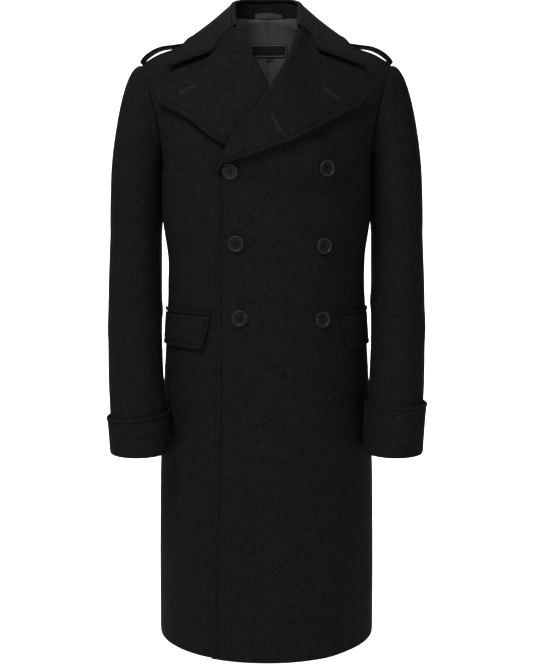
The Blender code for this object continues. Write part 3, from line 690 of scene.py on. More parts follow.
def collar_place(s, v):
    """Collar leaf from one front edge round the back to the other, fold line at v = 1."""
    u = np.abs(2.0 * s - 1.0)
    side = np.where(s < 0.5, -1.0, 1.0)
    fold, edge = collar_ends(u)
    drop = 1.0 - v
    point = mix(fold, edge, drop[..., None])
    bulge = COLLAR_BULGE * np.sin(np.pi * drop) * (1.0 - u ** 4)
    point[..., 2] += bulge

    left_x, left_z = along(COLLAR_FRONT_LEFT, drop)
    right_x, right_z = along(COLLAR_FRONT_RIGHT, drop)
    front_x, front_z = np.where(side > 0, (left_x, left_z), (right_x, right_z))
    lying = on_body(front_x, front_z, COLLAR_REST + COLLAR_SPRING * drop ** 2)
    straight = mix(COLLAR[-1, 1:4], COLLAR[-1, 4:7], drop[..., None])
    point = point + (lying - straight) * (u ** 5)[..., None]
    point[..., 0] *= side
    return point


def stand_place(s, v):
    """Collar stand from the neck seam up to just inside the fold line."""
    u = np.abs(2.0 * s - 1.0) * STAND_END
    side = np.where(s < 0.5, -1.0, 1.0)
    fold, _ = collar_ends(u)
    turn = u * COLLAR_WRAP
    inside = xyz(-np.sin(turn), -np.cos(turn), -STAND_SLOPE)
    top = fold + STAND_INSET * inside
    outward = np.sin(unit(u / STAND_BACK) * np.pi / 2)
    back_x = NECK_POINT_X * outward
    neck_z = neck_seam_z(back_x)
    neck_y = body_y(back_x, neck_z, BACK)
    forward = unit((u - STAND_BACK) / (1.0 - STAND_BACK))
    inset = STAND_SEAM + STAND_TUCK * ramp(u, STAND_TUCK_START, STAND_BACK)
    x = mix(back_x, COLLAR[-1, 1], forward) - inset * outward
    y = mix(neck_y - inset, COLLAR[-1, 2], forward)
    bottom = xyz(x, y, mix(neck_z, COLLAR[-1, 3], forward) - SEAM_LAP)
    point = mix(bottom, top, v[..., None])
    point[..., 0] *= side
    return point


def sleeve_ring(turn, z):
    outer, inner, centre_y, deep = read(SLEEVE[::-1], z, 1, 2, 3, 4)
    x = (outer + inner) / 2 + (outer - inner) / 2 * np.cos(turn)
    return xyz(x, centre_y - deep * np.sin(turn), z)


def sleeve_point(turn, v):
    """Sleeve surface; turn is 0 outside, a quarter turn in front; v runs down the arm."""
    level = 0.5 + 0.5 * np.cos(turn)
    y = np.where(np.sin(turn) > 0, armhole_y(level, FRONT), armhole_y(level, BACK))
    x = armhole_x(level)
    z = PIT_Z + level * (shoulder_z(x) - PIT_Z)
    off = SLEEVE_OFF + UNDER_OFF * (1.0 - level)
    head = xyz(x + off, y, z)
    arm = sleeve_ring(turn, np.full_like(turn, ARM_Z))
    reach = mix(UNDER_REACH, CAP_REACH, level)
    drop = mix(UNDER_DROP, CAP_DROP, level)
    first = head + xyz(reach, 0.0, CAP_RISE * reach * level)
    second = arm + xyz(UNDER_TUCK * (level - 1.0), 0.0, drop)
    t = unit(v / CAP_SHARE)[..., None]
    cap = (head * (1 - t) ** 3 + 3 * first * t * (1 - t) ** 2
           + 3 * second * t * t * (1 - t) + arm * t ** 3)
    down = unit((v - CAP_SHARE) / (1.0 - CAP_SHARE))
    tube = sleeve_ring(turn, mix(ARM_Z, WRIST_Z, down))
    return np.where((v < CAP_SHARE)[..., None], cap, tube)


def top_sleeve_turn(s, v):
    lap = SEAM_LAP / SLEEVE_RADIUS
    return mix(FOREARM_SEAM + lap, HINDARM_SEAM - lap, s), 1.0 - v


def under_sleeve_turn(s, v):
    lap = SEAM_LAP / SLEEVE_RADIUS
    return mix(HINDARM_SEAM + 2 * np.pi + lap, FOREARM_SEAM - lap, s), 1.0 - v


def cuff_place(side):
    """Turned-back cuff round the sleeve end, open along the hindarm seam."""
    def place(s, v):
        turn = mix(HINDARM_SEAM + 2 * np.pi - CUFF_OPENING, HINDARM_SEAM + CUFF_OPENING, s)
        top = WRIST_Z + CUFF_DEEP[side] - CUFF_TILT[side] * (0.5 + 0.5 * np.cos(turn))
        ring = sleeve_ring(turn, mix(WRIST_Z - CUFF_HANG, top, v))
        out = xyz(np.cos(turn), -np.sin(turn), 0.0)
        return ring + out * (CUFF_OFF + CUFF_FLARE * v ** 2)[..., None]

    return place


def strap_place(s, v):
    """Shoulder strap that stands off the shoulder between its two ends."""
    x, height, half = read(STRAP, 1.0 - s, 1, 2, 3)
    return xyz(x, mix(-half, half, v) + STRAP_Y, shoulder_z(x) + height)


def panel_patch(side, x_start, long, z_low, z_high, lean, height):
    """A patch on a front, from a distance in front round towards the side seam."""
    def place(s, v):
        z = mix(z_low, z_high, v)
        half_width, half_depth, _ = girth(z)
        start = np.arcsin((x_start + lean * (1.0 - v)) / half_width)
        end = np.arcsin(x_start / half_width) + long / (half_width + half_depth) * 2.0
        turn = mix(start, end, s)
        point = skirt_point(turn / SIDE_SEAM_ANGLE, z, FRONT)
        out = xyz(np.sin(turn) / half_width, -np.cos(turn) / half_depth, 0.0)
        out = direction(out)
        lift = front_lift(point[..., 0], point[..., 2], side)
        return point + out * (height(s, v) + lift)[..., None]

    return place


def back_inside(x, z, depth):
    return on_body(x, z, -depth, BACK)


def fold_height(across, down, long, wide, slant, height):
    """Height of one soft fold at distances across and down from its middle."""
    angle = math.radians(slant)
    side = across * math.cos(angle) + down * math.sin(angle)
    length = down * math.cos(angle) - across * math.sin(angle)
    return height * np.exp(-(side / wide) ** 2 - (length / long) ** 2)


def draped(point, facing):
    """Points of the body moved out by its soft folds, along the oval's own normal."""
    x, y, z = np.moveaxis(point, -1, 0)
    height = np.zeros_like(x)
    for side, fold_x, fold_z, *shape in FOLDS:
        if side == facing:
            height = height + fold_height(x - fold_x, z - fold_z, *shape)
    half_width, half_depth, centre = girth(np.minimum(z, PIT_Z))
    out = xyz(x / half_width ** 2, (y - centre) / half_depth ** 2, 0.0)
    out = direction(out)
    return point + out * height[..., None]


def creased(place, side):
    """A sleeve's place with the creases of that arm."""
    def at(s, v):
        turn, level = place(s, v)
        point = sleeve_point(turn, level)
        height = np.zeros_like(turn)
        for arm, fold_turn, fold_z, *shape in SLEEVE_FOLDS:
            if arm == side:
                away = (turn - math.radians(fold_turn) + np.pi) % (2 * np.pi) - np.pi
                height = height + fold_height(away * ARM_RADIUS, point[..., 2] - fold_z, *shape)
        out = xyz(np.cos(turn), -np.sin(turn), 0.0)
        return point + out * height[..., None]

    return at


def worn(place, side, facing=None):
    """A place on its own side of the coat, with the body's folds where it lies on the body."""
    def at(s, v):
        point = place(s, v) * np.array([side, 1.0, 1.0])
        return draped(point, facing) if facing else point

    return at


def edge_marks(radius, line):
    """Distances from an edge that carry its round rim and its stitch line."""
    marks = radius * (1.0 - np.cos(RIM_ANGLES))
    if line:
        groove = line[0] + line[2] * np.array([-2.0, -1.0, 0.0, 1.0, 2.0])
        marks = np.concatenate([marks, groove])
    return marks


def spread(lengths, low, high, steps):
    """Distances along each length: the marks of both ends and even steps between them."""
    lengths = np.atleast_1d(lengths)[:, None]
    squeeze = np.minimum(1.0, EDGE_SHARE * lengths / max(low[-1], high[-1]))
    start = low[None] * squeeze
    end = lengths - high[::-1][None] * squeeze
    share = np.linspace(0.0, 1.0, steps + 1)[None, 1:-1]
    return np.concatenate([start, mix(start[:, -1:], end[:, :1], share), end], axis=1)


def lengths_along(points, axis):
    return np.linalg.norm(np.diff(points, axis=axis), axis=-1).sum(axis=axis)


def lay_out(at, step, radius, lines, corners):
    """Shares across and up of a sheet's grid, and each point's distance from its four edges."""
    marks = {edge: edge_marks(radius, lines.get(edge)) for edge in ("left", "right", "low", "high")}
    probe = np.linspace(0.0, 1.0, 61)
    points = at(*np.meshgrid(probe, probe))
    widths, heights = lengths_along(points, 1), lengths_along(points, 0)
    columns = max(2, round(widths.max() / step))
    rows = max(2, round(heights.max() / step))
    s_mean = spread(widths.mean(), marks["left"], marks["right"], columns)[0] / widths.mean()
    v_mean = spread(heights.mean(), marks["low"], marks["high"], rows)[0] / heights.mean()
    width = np.interp(v_mean, probe, widths)
    height = np.interp(s_mean, probe, heights)
    across = spread(width, marks["left"], marks["right"], columns)
    up = spread(height, marks["low"], marks["high"], rows).T
    width, height = width[:, None], height[None, :]
    away = {"left": across, "right": width - across, "low": up, "high": height - up}
    across, up = across.copy(), up.copy()
    for end, top, round_radius in corners:
        a = unit(1.0 - away[end] / round_radius)
        b = unit(1.0 - away[top] / round_radius)
        in_a = round_radius * a * (1.0 - np.sqrt(1.0 - b * b / 2.0))
        in_b = round_radius * b * (1.0 - np.sqrt(1.0 - a * a / 2.0))
        across += in_a if end == "left" else -in_a
        up += in_b if top == "low" else -in_b
    return unit(across / width), unit(up / height), away, marks


def grid_faces(outer, inner):
    """Quads of both sides of a shell whose border points are shared."""
    def quads(index, turned):
        cells = np.stack([index[:-1, :-1], index[:-1, 1:], index[1:, 1:], index[1:, :-1]], -1).reshape(-1, 4)
        return cells[:, ::-1] if turned else cells

    return quads(outer, False), quads(inner, True)


def new_object(name, data):
    obj = bpy.data.objects.new(name, data)
    bpy.context.scene.collection.objects.link(obj)
    return obj


def new_mesh(name, points, faces, looks, slots=None):
    mesh = bpy.data.meshes.new(name)
    mesh.from_pydata(points.tolist(), [], [list(map(int, face)) for face in faces])
    for look in looks:
        mesh.materials.append(look)
    if slots is not None:
        mesh.polygons.foreach_set("material_index", slots)
    mesh.polygons.foreach_set("use_smooth", np.ones(len(mesh.polygons), bool))
    mesh.update()
    return new_object(name, mesh)


def shell(name, at, low, high, outside, inside, side=LEFT, step=GRID_STEP, lines=None, corners=()):
    """A closed cloth shell from low to high about a place, with its rims rounded.

    Returns the object and the stitch paths of its edges.
    """
    lines = lines or {}
    half, middle = (high - low) / 2.0, (high + low) / 2.0
    radius = half * RIM_SOFT
    s, v, away, marks = lay_out(at, step, radius, lines, corners)
    sheet_points = at(s, v)
    out = normals(at, s, v) * side
    nearest = np.minimum.reduce(list(away.values()))
    bulge = np.sin(np.arccos(unit(1.0 - nearest / radius)))
    dip, puff = np.zeros_like(nearest), np.zeros_like(nearest)
    for edge, distance in away.items():
        if edge in lines:
            line, deep, wide = lines[edge]
            dip = dip + deep * np.exp(-((distance - line) / wide) ** 2)
            puff = np.maximum(puff, PUFF * deep * np.sin(np.pi * unit(distance / line)))
        else:
            dip = dip + SEAM_DIP * np.exp(-(distance / SEAM_WIDE) ** 2)
    top = sheet_points + out * (middle + (half + puff - dip) * bulge)[..., None]
    under = sheet_points + out * (middle - half * bulge)[..., None]

    border = np.zeros(nearest.shape, bool)
    border[0], border[-1], border[:, 0], border[:, -1] = True, True, True, True
    outer = np.arange(nearest.size).reshape(nearest.shape)
    inner = outer.copy()
    inner[~border] = nearest.size + np.arange((~border).sum())
    points = np.concatenate([top.reshape(-1, 3), under[~border]])
    front_faces, back_faces = grid_faces(outer, inner)
    if side == RIGHT:
        front_faces, back_faces = front_faces[:, ::-1], back_faces[:, ::-1]
    slots = np.repeat([0, 1], [len(front_faces), len(back_faces)])
    obj = new_mesh(name, points, np.concatenate([front_faces, back_faces]), [outside, inside], slots)
    return obj, stitch_paths(top, out, away, marks, lines)


def stitch_paths(top, out, away, marks, lines):
    """Points and normals along each stitch line, ended where another line crosses it."""
    paths = []
    for edge, (line, _, _) in lines.items():
        place = int(np.argmin(np.abs(marks[edge] - line)))
        place = place if edge in ("left", "low") else -1 - place
        pick = (slice(None), place) if edge in ("left", "right") else (place, slice(None))
        keep = np.ones(top[pick].shape[0], bool)
        for other, (limit, _, _) in lines.items():
            if other != edge:
                keep &= away[other][pick] > limit
        paths.append((top[pick][keep], out[pick][keep]))
    return paths


def stitches(name, paths, look):
    """Short threads laid in the stitch lines, one small closed spindle each."""
    ring = np.linspace(0.0, 2 * np.pi, 6)[:-1]
    stations = ((-0.30, 1.0), (0.0, 1.15), (0.30, 1.0))
    spindle = [(-0.5, 0.0, 0.0)]
    for at, size in stations:
        spindle += [(at, size * math.cos(a), size * math.sin(a)) for a in ring]
    spindle = np.array(spindle + [(0.5, 0.0, 0.0)]) * (STITCH_LONG, THREAD, THREAD)
    count = len(ring)
    faces = [(0, 1 + (i + 1) % count, 1 + i) for i in range(count)]
    for k in range(len(stations) - 1):
        a, b = 1 + k * count, 1 + (k + 1) * count
        faces += [(a + i, a + (i + 1) % count, b + (i + 1) % count, b + i) for i in range(count)]
    last, end = 1 + (len(stations) - 1) * count, 1 + len(stations) * count
    faces += [(last + i, last + (i + 1) % count, end) for i in range(count)]

    all_points, all_faces = [], []
    for points, out in paths:
        gone = distances(points)
        spots = np.arange(STITCH_PITCH, gone[-1] - STITCH_PITCH / 2, STITCH_PITCH)
        for spot in spots:
            here, ahead, up = (np.array([np.interp(at, gone, field[:, i]) for i in range(3)])
                               for at, field in ((spot, points), (spot + 0.001, points), (spot, out)))
            way = direction(ahead - here)
            beside = np.cross(up, way)
            base = len(spindle) * len(all_points)
            all_points.append(here + spindle @ np.stack([way, beside, up]))
            all_faces += [tuple(base + i for i in face) for face in faces]
    return new_mesh(name, np.concatenate(all_points), all_faces, [look])


def tube(name, points, radii, look, closed, sides=7):
    """A round thread or bead along points, with a radius at each of them."""
    points = np.asarray(points)
    if closed:
        way = np.roll(points, -1, axis=0) - np.roll(points, 1, axis=0)
    else:
        way = np.gradient(points, axis=0)
    way = direction(way)
    beside = direction(np.cross(way, (0.0, -1.0, 0.0)))
    up = np.cross(beside, way)
    around = np.linspace(0.0, 2 * np.pi, sides + 1)[:-1]
    ring = beside[:, None] * np.cos(around)[:, None] + up[:, None] * np.sin(around)[:, None]
    rings = points[:, None] + np.asarray(radii)[:, None, None] * ring
    count = len(points)
    spans = range(count if closed else count - 1)
    faces = []
    for k in spans:
        a, b = k * sides, (k + 1) % count * sides
        faces += [(a + i, a + (i + 1) % sides, b + (i + 1) % sides, b + i) for i in range(sides)]
    if not closed:
        faces.append(tuple(range(sides))[::-1])
        faces.append(tuple(range((count - 1) * sides, count * sides)))
    return new_mesh(name, rings.reshape(-1, 3), faces, [look])


def node(tree, kind, inputs=None, **settings):
    """A shader node with its settings, its plain values and its links."""
    made = tree.nodes.new(kind)
    for key, value in settings.items():
        setattr(made, key, value)
    fill(made, inputs or {})
    return made


def fill(made, inputs):
    """Sets or links a shader node's inputs."""
    for key, value in inputs.items():
        if isinstance(value, bpy.types.NodeSocket):
            made.id_data.links.new(value, made.inputs[key])
        else:
            made.inputs[key].default_value = value


def grey(level):
    return (level, level, level)


def new_material(name):
    made = bpy.data.materials.new(name)
    made.use_nodes = True
    tree = made.node_tree
    return made, tree, tree.nodes["Principled BSDF"]


def ramp_node(tree, factor, stops):
    """A colour ramp from (place, colour) stops."""
    made = node(tree, "ShaderNodeValToRGB", {"Fac": factor})
    elements = made.color_ramp.elements
    while len(elements) < len(stops):
        elements.new(0.5)
    for element, (place, colour) in zip(elements, stops):
        element.position = place
        element.color = (*colour, 1.0)
    return made.outputs["Color"]


def noise_node(tree, coordinates, scale, detail, roughness=0.6):
    made = node(tree, "ShaderNodeTexNoise", {"Vector": coordinates, "Scale": scale, "Detail": detail,
                                             "Roughness": roughness})
    return made.outputs["Fac"]


def melton(name, dark, light):
    """Felted black wool: a dense matted nap with pale specks and soft mottling."""
    made, tree, shader = new_material(name)
    where = node(tree, "ShaderNodeTexCoord").outputs["Object"]
    nap = noise_node(tree, where, 640.0, 2.0, 0.70)
    mottle = noise_node(tree, where, 42.0, 4.0)
    hair_way = node(tree, "ShaderNodeMapping", {"Vector": where, "Rotation": (0.3, 0.5, 0.2),
                                                "Scale": (1500.0, 1500.0, 320.0)}).outputs["Vector"]
    hair = noise_node(tree, hair_way, 1.0, 2.0, 0.8)
    middle = tuple(mix(np.array(dark), np.array(light), 0.36))
    cloth_colour = ramp_node(tree, nap, ((0.33, dark), (0.50, middle), (0.68, light)))
    patches = ramp_node(tree, mottle, ((0.32, grey(0.92)), (0.70, grey(1.07))))
    mottled = node(tree, "ShaderNodeMix", {"Factor": 1.0, "A": cloth_colour, "B": patches},
                   data_type="RGBA", blend_type="MULTIPLY")
    rough = node(tree, "ShaderNodeMapRange", {"Value": nap, "To Min": 0.85, "To Max": 1.0})
    fuzz = node(tree, "ShaderNodeBump", {"Height": nap, "Strength": 0.70, "Distance": 0.0012})
    strands = node(tree, "ShaderNodeBump", {"Height": hair, "Strength": 0.40, "Distance": 0.0006,
                                            "Normal": fuzz.outputs["Normal"]})
    fill(shader, {"Base Color": mottled.outputs["Result"], "Roughness": rough.outputs["Result"],
                  "Normal": strands.outputs["Normal"], "Specular IOR Level": 0.02,
                  "Sheen Weight": 0.002, "Sheen Roughness": 0.55})
    return made


def twill(name, dark, light, roughness, pitch):
    """Smooth lining or tape with a fine diagonal rib."""
    made, tree, shader = new_material(name)
    where = node(tree, "ShaderNodeTexCoord").outputs["Object"]
    across = node(tree, "ShaderNodeMapping", {"Vector": where, "Scale": (1.0, 0.0, 1.0)}).outputs["Vector"]
    rib = node(tree, "ShaderNodeTexWave",
               {"Vector": across, "Scale": pitch, "Distortion": 0.6, "Detail": 1.0},
               wave_type="BANDS", bands_direction="DIAGONAL").outputs["Fac"]
    cloud = noise_node(tree, where, 55.0, 3.0)
    both = node(tree, "ShaderNodeMath", {0: rib, 1: cloud}, operation="MULTIPLY").outputs["Value"]
    raised = node(tree, "ShaderNodeBump", {"Height": rib, "Strength": 0.25, "Distance": 0.0002})
    glide = node(tree, "ShaderNodeMapRange",
                 {"Value": cloud, "To Min": roughness - 0.06, "To Max": roughness + 0.10})
    fill(shader, {"Base Color": ramp_node(tree, both, ((0.10, dark), (0.60, light))),
                  "Normal": raised.outputs["Normal"], "Roughness": glide.outputs["Result"],
                  "Specular IOR Level": 0.20})
    return made


def horn(name, dark, light):
    """Polished dark button with faint clouds and scuffed, uneven gloss."""
    made, tree, shader = new_material(name)
    where = node(tree, "ShaderNodeTexCoord").outputs["Object"]
    cloud = noise_node(tree, where, 160.0, 4.0)
    scuff = noise_node(tree, where, 900.0, 2.0)
    worn_gloss = node(tree, "ShaderNodeMapRange", {"Value": scuff, "To Min": 0.20, "To Max": 0.34})
    fill(shader, {"Base Color": ramp_node(tree, cloud, ((0.30, dark), (0.75, light))),
                  "Roughness": worn_gloss.outputs["Result"], "Specular IOR Level": 0.12})
    return made


def thread(name, dark, light):
    """Twisted sewing thread."""
    made, tree, shader = new_material(name)
    where = node(tree, "ShaderNodeTexCoord").outputs["Object"]
    twist = noise_node(tree, where, 2400.0, 2.0)
    fill(shader, {"Base Color": ramp_node(tree, twist, ((0.35, dark), (0.70, light))),
                  "Roughness": 0.8, "Specular IOR Level": 0.03})
    return made


WOOL_LOOK = melton("black_wool", grey(0.0012), grey(0.0136))
LINING_LOOK = twill("grey_lining", grey(0.043), grey(0.061), 0.46, 420.0)
TAPE_LOOK = twill("satin_tape", grey(0.013), grey(0.028), 0.36, 700.0)
LABEL_LOOK = twill("label_cloth", grey(0.0030), grey(0.0070), 0.62, 900.0)
BUTTON_LOOK = horn("dark_button", grey(0.0030), grey(0.0100))
# The buttons' rims get lighter colours than their faces: a painted highlight of the rims' reflections.
RIM_HIGHLIGHT_LOOK = horn("button_rim_painted_highlight", grey(0.0100), grey(0.0230))
PURL_LOOK = thread("buttonhole_thread", grey(0.012), grey(0.036))
# Stitch thread: its own black, made darker still so that the stitch lines read dark, which is partly painted
# shade of the stitch grooves.
THREAD_AND_GROOVE_SHADE_LOOK = thread("black_thread_and_groove_shade", grey(0.0010), grey(0.0040))
# Very dark look for the buttonhole slits and the buttons' threads: painted shade of the slits and of the
# holes, partly the threads' own black.
SLIT_AND_HOLE_SHADE_LOOK = thread("slit_and_hole_shade", grey(0.0015), grey(0.0030))
PALE_THREAD_LOOK = thread("grey_thread", (0.120, 0.120, 0.124), (0.220, 0.220, 0.226))


def dress(obj, nodes):
    """A piece that stands for its solids: it hides them and rides on the coat."""
    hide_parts(*nodes)
    attach(obj)


def attach(obj):
    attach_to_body(obj, "root")


def wool_piece(name, at, low, high, side, held, rests_on=(), inside=None, **shape):
    """A cut of wool with its stitch lines."""
    obj, paths = shell(name + "_cloth", at, low, high, WOOL_LOOK, inside or WOOL_LOOK, side, **shape)
    dress(obj, [name])
    sewn = []
    if paths:
        # The stitches are dark partly as painted shade of their grooves.
        sewn.append(stitches(name + "_stitches", paths, THREAD_AND_GROOVE_SHADE_LOOK))
        attach(sewn[0])
    return obj


def add_body(side):
    which = name_of(side)
    edge = {"left": EDGE_LINE["front"]}
    wool_piece(f"front_{which}", worn(front_place(side), side, FRONT), -WOOL, 0.0, side, "hung", lines=edge)
    wool_piece(f"back_{which}", worn(back_place_out, side, BACK), -WOOL, 0.0, side, "hung",
               inside=LINING_LOOK)


def add_sleeve(side):
    which = name_of(side)
    top = worn(creased(top_sleeve_turn, side), side)
    under = worn(creased(under_sleeve_turn, side), side)
    wool_piece(f"top_sleeve_{which}", top, -WOOL, 0.0, side, "hung", inside=LINING_LOOK)
    wool_piece(f"under_sleeve_{which}", under, -WOOL, 0.0, side, "hung", inside=LINING_LOOK)
    wool_piece(f"cuff_{which}", worn(cuff_place(side), side), 0.0, FOLDED_WOOL, side, "folded",
               [f"top_sleeve_{which}", f"under_sleeve_{which}"], step=FINE_STEP,
               lines={"high": EDGE_LINE["cuff"]})
    strap_lines = {edge: EDGE_LINE["strap"] for edge in ("low", "high", "left")}
    wool_piece(f"epaulette_{which}", worn(strap_place, side), 0.0, STRAP_WALL, side, "laid",
               [f"front_{which}", f"back_{which}"], step=FINE_STEP, lines=strap_lines)


def add_lapel(side):
    which = name_of(side)
    lines = {"right": EDGE_LINE["lapel"], "high": EDGE_LINE["lapel"]}
    corners = (("right", "high", LAPEL_POINT_ROUND[side]),)
    lapel = wool_piece(f"lapel_{which}", worn(lapel_place(side), side, FRONT), -FOLDED_WOOL / 2,
                       FOLDED_WOOL / 2 + LEAF_EXTRA, side, "folded", [f"front_{which}"],
                       step=FINE_STEP, lines=lines, corners=corners)
    bpy.context.view_layer.update()
    for number, (eyelet, tail) in enumerate(BUTTONHOLES[f"lapel_{which}"], 1):
        add_buttonhole(f"buttonhole_{which}_{number}", lapel, eyelet, tail)


def on_cloth(obj, x, z, height):
    """The point of a piece's face towards the front at x and z, and its normal."""
    hit, place, normal, _ = obj.ray_cast(Vector((x, -1.0, z)), Vector((0.0, 1.0, 0.0)))
    if not hit:
        raise ValueError(f"{obj.name} has no cloth at {x:.3f}, {z:.3f}")
    return np.array(place + normal * height), np.array(normal)


def add_buttonhole(name, cloth_obj, eyelet, tail):
    """A keyhole buttonhole: a purled rim round a slit that opens into an eyelet; the slit is a thin dark
    tube, painted shade of the opening.
    """
    eyelet, tail = np.array(eyelet), np.array(tail)
    way = direction(tail - eyelet)
    beside = np.array([-way[1], way[0]])
    turn = np.linspace(math.radians(40), math.radians(320), 30)
    loop = [eyelet + EYELET * (way * math.cos(a) + beside * math.sin(a)) for a in turn]
    legs = np.linspace(0.0, 1.0, 30)
    back = [mix(loop[-1], tail - beside * SLIT, share) for share in legs[1:]]
    forth = [mix(tail + beside * SLIT, loop[0], share) for share in legs[:-1]]
    outline = [on_cloth(cloth_obj, x, z, PURL * 0.35)[0] for x, z in loop + back + forth]
    outline = resample(np.array(outline), PURL * 0.8)
    bead = PURL * (1.0 + 0.22 * np.cos(np.arange(len(outline)) * 2.1))
    attach(tube(name, outline, bead, PURL_LOOK, closed=True))
    # The slit: a thin dark tube on the cloth, painted shade of the opening.
    slit = [on_cloth(cloth_obj, *mix(eyelet, tail, share), SLIT_LIFT)[0]
            for share in np.linspace(0.05, 0.95, 16)]
    sizes = np.full(len(slit), SLIT * 0.55)
    attach(tube(name + "_slit", slit, sizes, SLIT_AND_HOLE_SHADE_LOOK, closed=False))


def resample(points, pitch):
    """Even points along a closed outline."""
    loop = np.concatenate([points, points[:1]])
    gone = distances(loop)
    at = np.arange(0.0, gone[-1] - pitch / 2, pitch)
    return np.stack([np.interp(at, gone, loop[:, i]) for i in range(3)], -1)


def collar_leaf(s, v):
    """Collar leaf with its fold rolled over the stand, turned so that its normals point out."""
    fall = unit(v / (1.0 - COLLAR_ROLL_ROWS))
    roll = np.pi * unit((v - 1.0) / COLLAR_ROLL_ROWS + 1.0)
    point = collar_place(1.0 - s, fall)
    u = np.abs(2.0 * s - 1.0)
    side = np.where(s > 0.5, -1.0, 1.0)
    turn = u * COLLAR_WRAP
    inside = xyz(-np.sin(turn) * side, -np.cos(turn), 0.0)
    point = point + inside * (COLLAR_ROLL * (1.0 - np.cos(roll)))[..., None]
    point[..., 2] += COLLAR_ROLL * np.sin(roll) - COLLAR_SINK * fall ** 2
    return point


def add_collar():
    lines = {edge: EDGE_LINE["collar"] for edge in ("low", "left", "right")}
    corners = (("left", "low", COLLAR_POINT_ROUND), ("right", "low", COLLAR_POINT_ROUND))
    wool_piece("collar_fall", collar_leaf, -FOLDED_WOOL / 2, FOLDED_WOOL / 2 + LEAF_EXTRA, LEFT, "folded",
               ["front_left", "front_right", "back_left", "back_right"], step=FINE_STEP,
               lines=lines, corners=corners)
    wool_piece("collar_stand", lambda s, v: stand_place(s, v * STAND_SHOWN), -WOOL / 2, WOOL / 2, LEFT,
               "stretched", ["back_left", "back_right"], step=FINE_STEP)


def add_pocket(side):
    which, top = name_of(side), POCKET_TOP_Z
    jet = panel_patch(side, POCKET_FRONT_X[side], FLAP_LONG, top - JET_DEEP, top, 0.0,
                      lambda s, v: np.full_like(v, FLAP_REST))
    wool_piece(f"pocket_jet_{which}", worn(jet, side, FRONT), -FLAP_REST, JET_WALL + JET_ROLL, side,
               "folded", [f"front_{which}"], step=FINE_STEP, lines={"high": EDGE_LINE["jet"]})
    flap_top = top - JET_DEEP - JET_GAP
    flap = panel_patch(side, POCKET_FRONT_X[side], FLAP_LONG, flap_top - FLAP_DEEP, flap_top, FLAP_LEAN,
                       lambda s, v: FLAP_REST + (FLAP_SPRING + FLAP_LIFT * (1.0 - s) ** 3) * (1.0 - v))
    lines = {edge: EDGE_LINE["flap"] for edge in ("left", "low", "right")}
    corners = (("left", "low", FLAP_CORNER), ("right", "low", FLAP_CORNER))
    wool_piece(f"pocket_flap_{which}", worn(flap, side, FRONT), 0.0, FLAP_WALL, side, "hung",
               [f"front_{which}"], step=FINE_STEP, lines=lines, corners=corners)


def add_lining(side):
    """Half of the lining: down the back, and up the stand to a level top edge."""
    seam = side * LINING_SEAM_X + LINING_GAP / 2

    def place(s, v):
        x = mix(seam, LINING_HALF_WIDTH, s)
        foot = neck_seam_z(x)
        point = back_inside(x, mix(LINING_LOW_Z, foot, np.minimum(v / LINING_TURN, 1.0)), LINING_OFF)
        level = (BACK_NECK_Z + LINING_TOP - foot) / (COLLAR[0, 3] - foot)
        share = 0.5 + np.minimum(x, LINING_LEVEL_X) / LOOP_SPAN
        climb = level * np.maximum(v - LINING_TURN, 0.0) / (1.0 - LINING_TURN)
        rise = stand_place(share, climb) - stand_place(share, np.zeros_like(climb))
        return point + rise * (1.0, LINING_LEAN, 1.0)

    name = f"lining_{name_of(side)}"
    obj, _ = shell(name + "_cloth", worn(place, side), 0.0, LINING_WALL, LINING_LOOK, LINING_LOOK, side)
    dress(obj, [name])


def back_patch(x, z, long, deep):
    def place(s, v):
        return back_inside(x + (s - 0.5) * long, z + (v - 0.5) * deep, LINING_OFF + LINING_WALL + PATCH_OFF)

    return place


def loop_place(s, v):
    """Hanger loop along the stand, a little proud of it between its sewn ends."""
    share = 0.5 + (LOOP_X + (s - 0.5) * LOOP_LONG) / LOOP_SPAN
    height = (LOOP_Z - BACK_NECK_Z + (v - 0.5) * LOOP_DEEP) / (COLLAR[0, 3] - BACK_NECK_Z)
    point = stand_place(share, height)
    point[..., 1] -= WOOL / 2 + LOOP_OFF + LOOP_BOW * np.sin(np.pi * s)
    return point


def add_trimmings():
    """Hanger loop, bare label with its pale border, and the tab under it."""
    lining = ["lining_left", "lining_right"]
    pieces = (
        ("neck_label", back_patch(LABEL_X, LABEL_Z, LABEL_LONG, LABEL_DEEP), LABEL_LOOK, "laid", lining),
        ("size_tab", back_patch(LABEL_X, TAB_Z, TAB_LONG, TAB_DEEP), TAPE_LOOK, "folded", lining),
        ("hanger_loop", loop_place, TAPE_LOOK, "hung", ["collar_stand"]),
    )
    for name, place, look, held, rests_on in pieces:
        obj, _ = shell(name + "_cloth", place, 0.0, PATCH_WALL, look, look, step=TRIM_STEP)
        dress(obj, [name])
    label = back_patch(LABEL_X, LABEL_Z, LABEL_LONG - 2 * BORDER_IN, LABEL_DEEP - 2 * BORDER_IN)
    share = np.linspace(0.0, 1.0, 24)[:-1]
    start, end = np.zeros_like(share), np.ones_like(share)
    s = np.concatenate([share, end, 1.0 - share, start])
    v = np.concatenate([start, share, end, 1.0 - share])
    border = label(s, v) + normals(label, s, v) * PATCH_WALL
    sizes = np.full(len(s), BORDER_THREAD)
    attach(tube("label_border", border, sizes, PALE_THREAD_LOOK, closed=True))


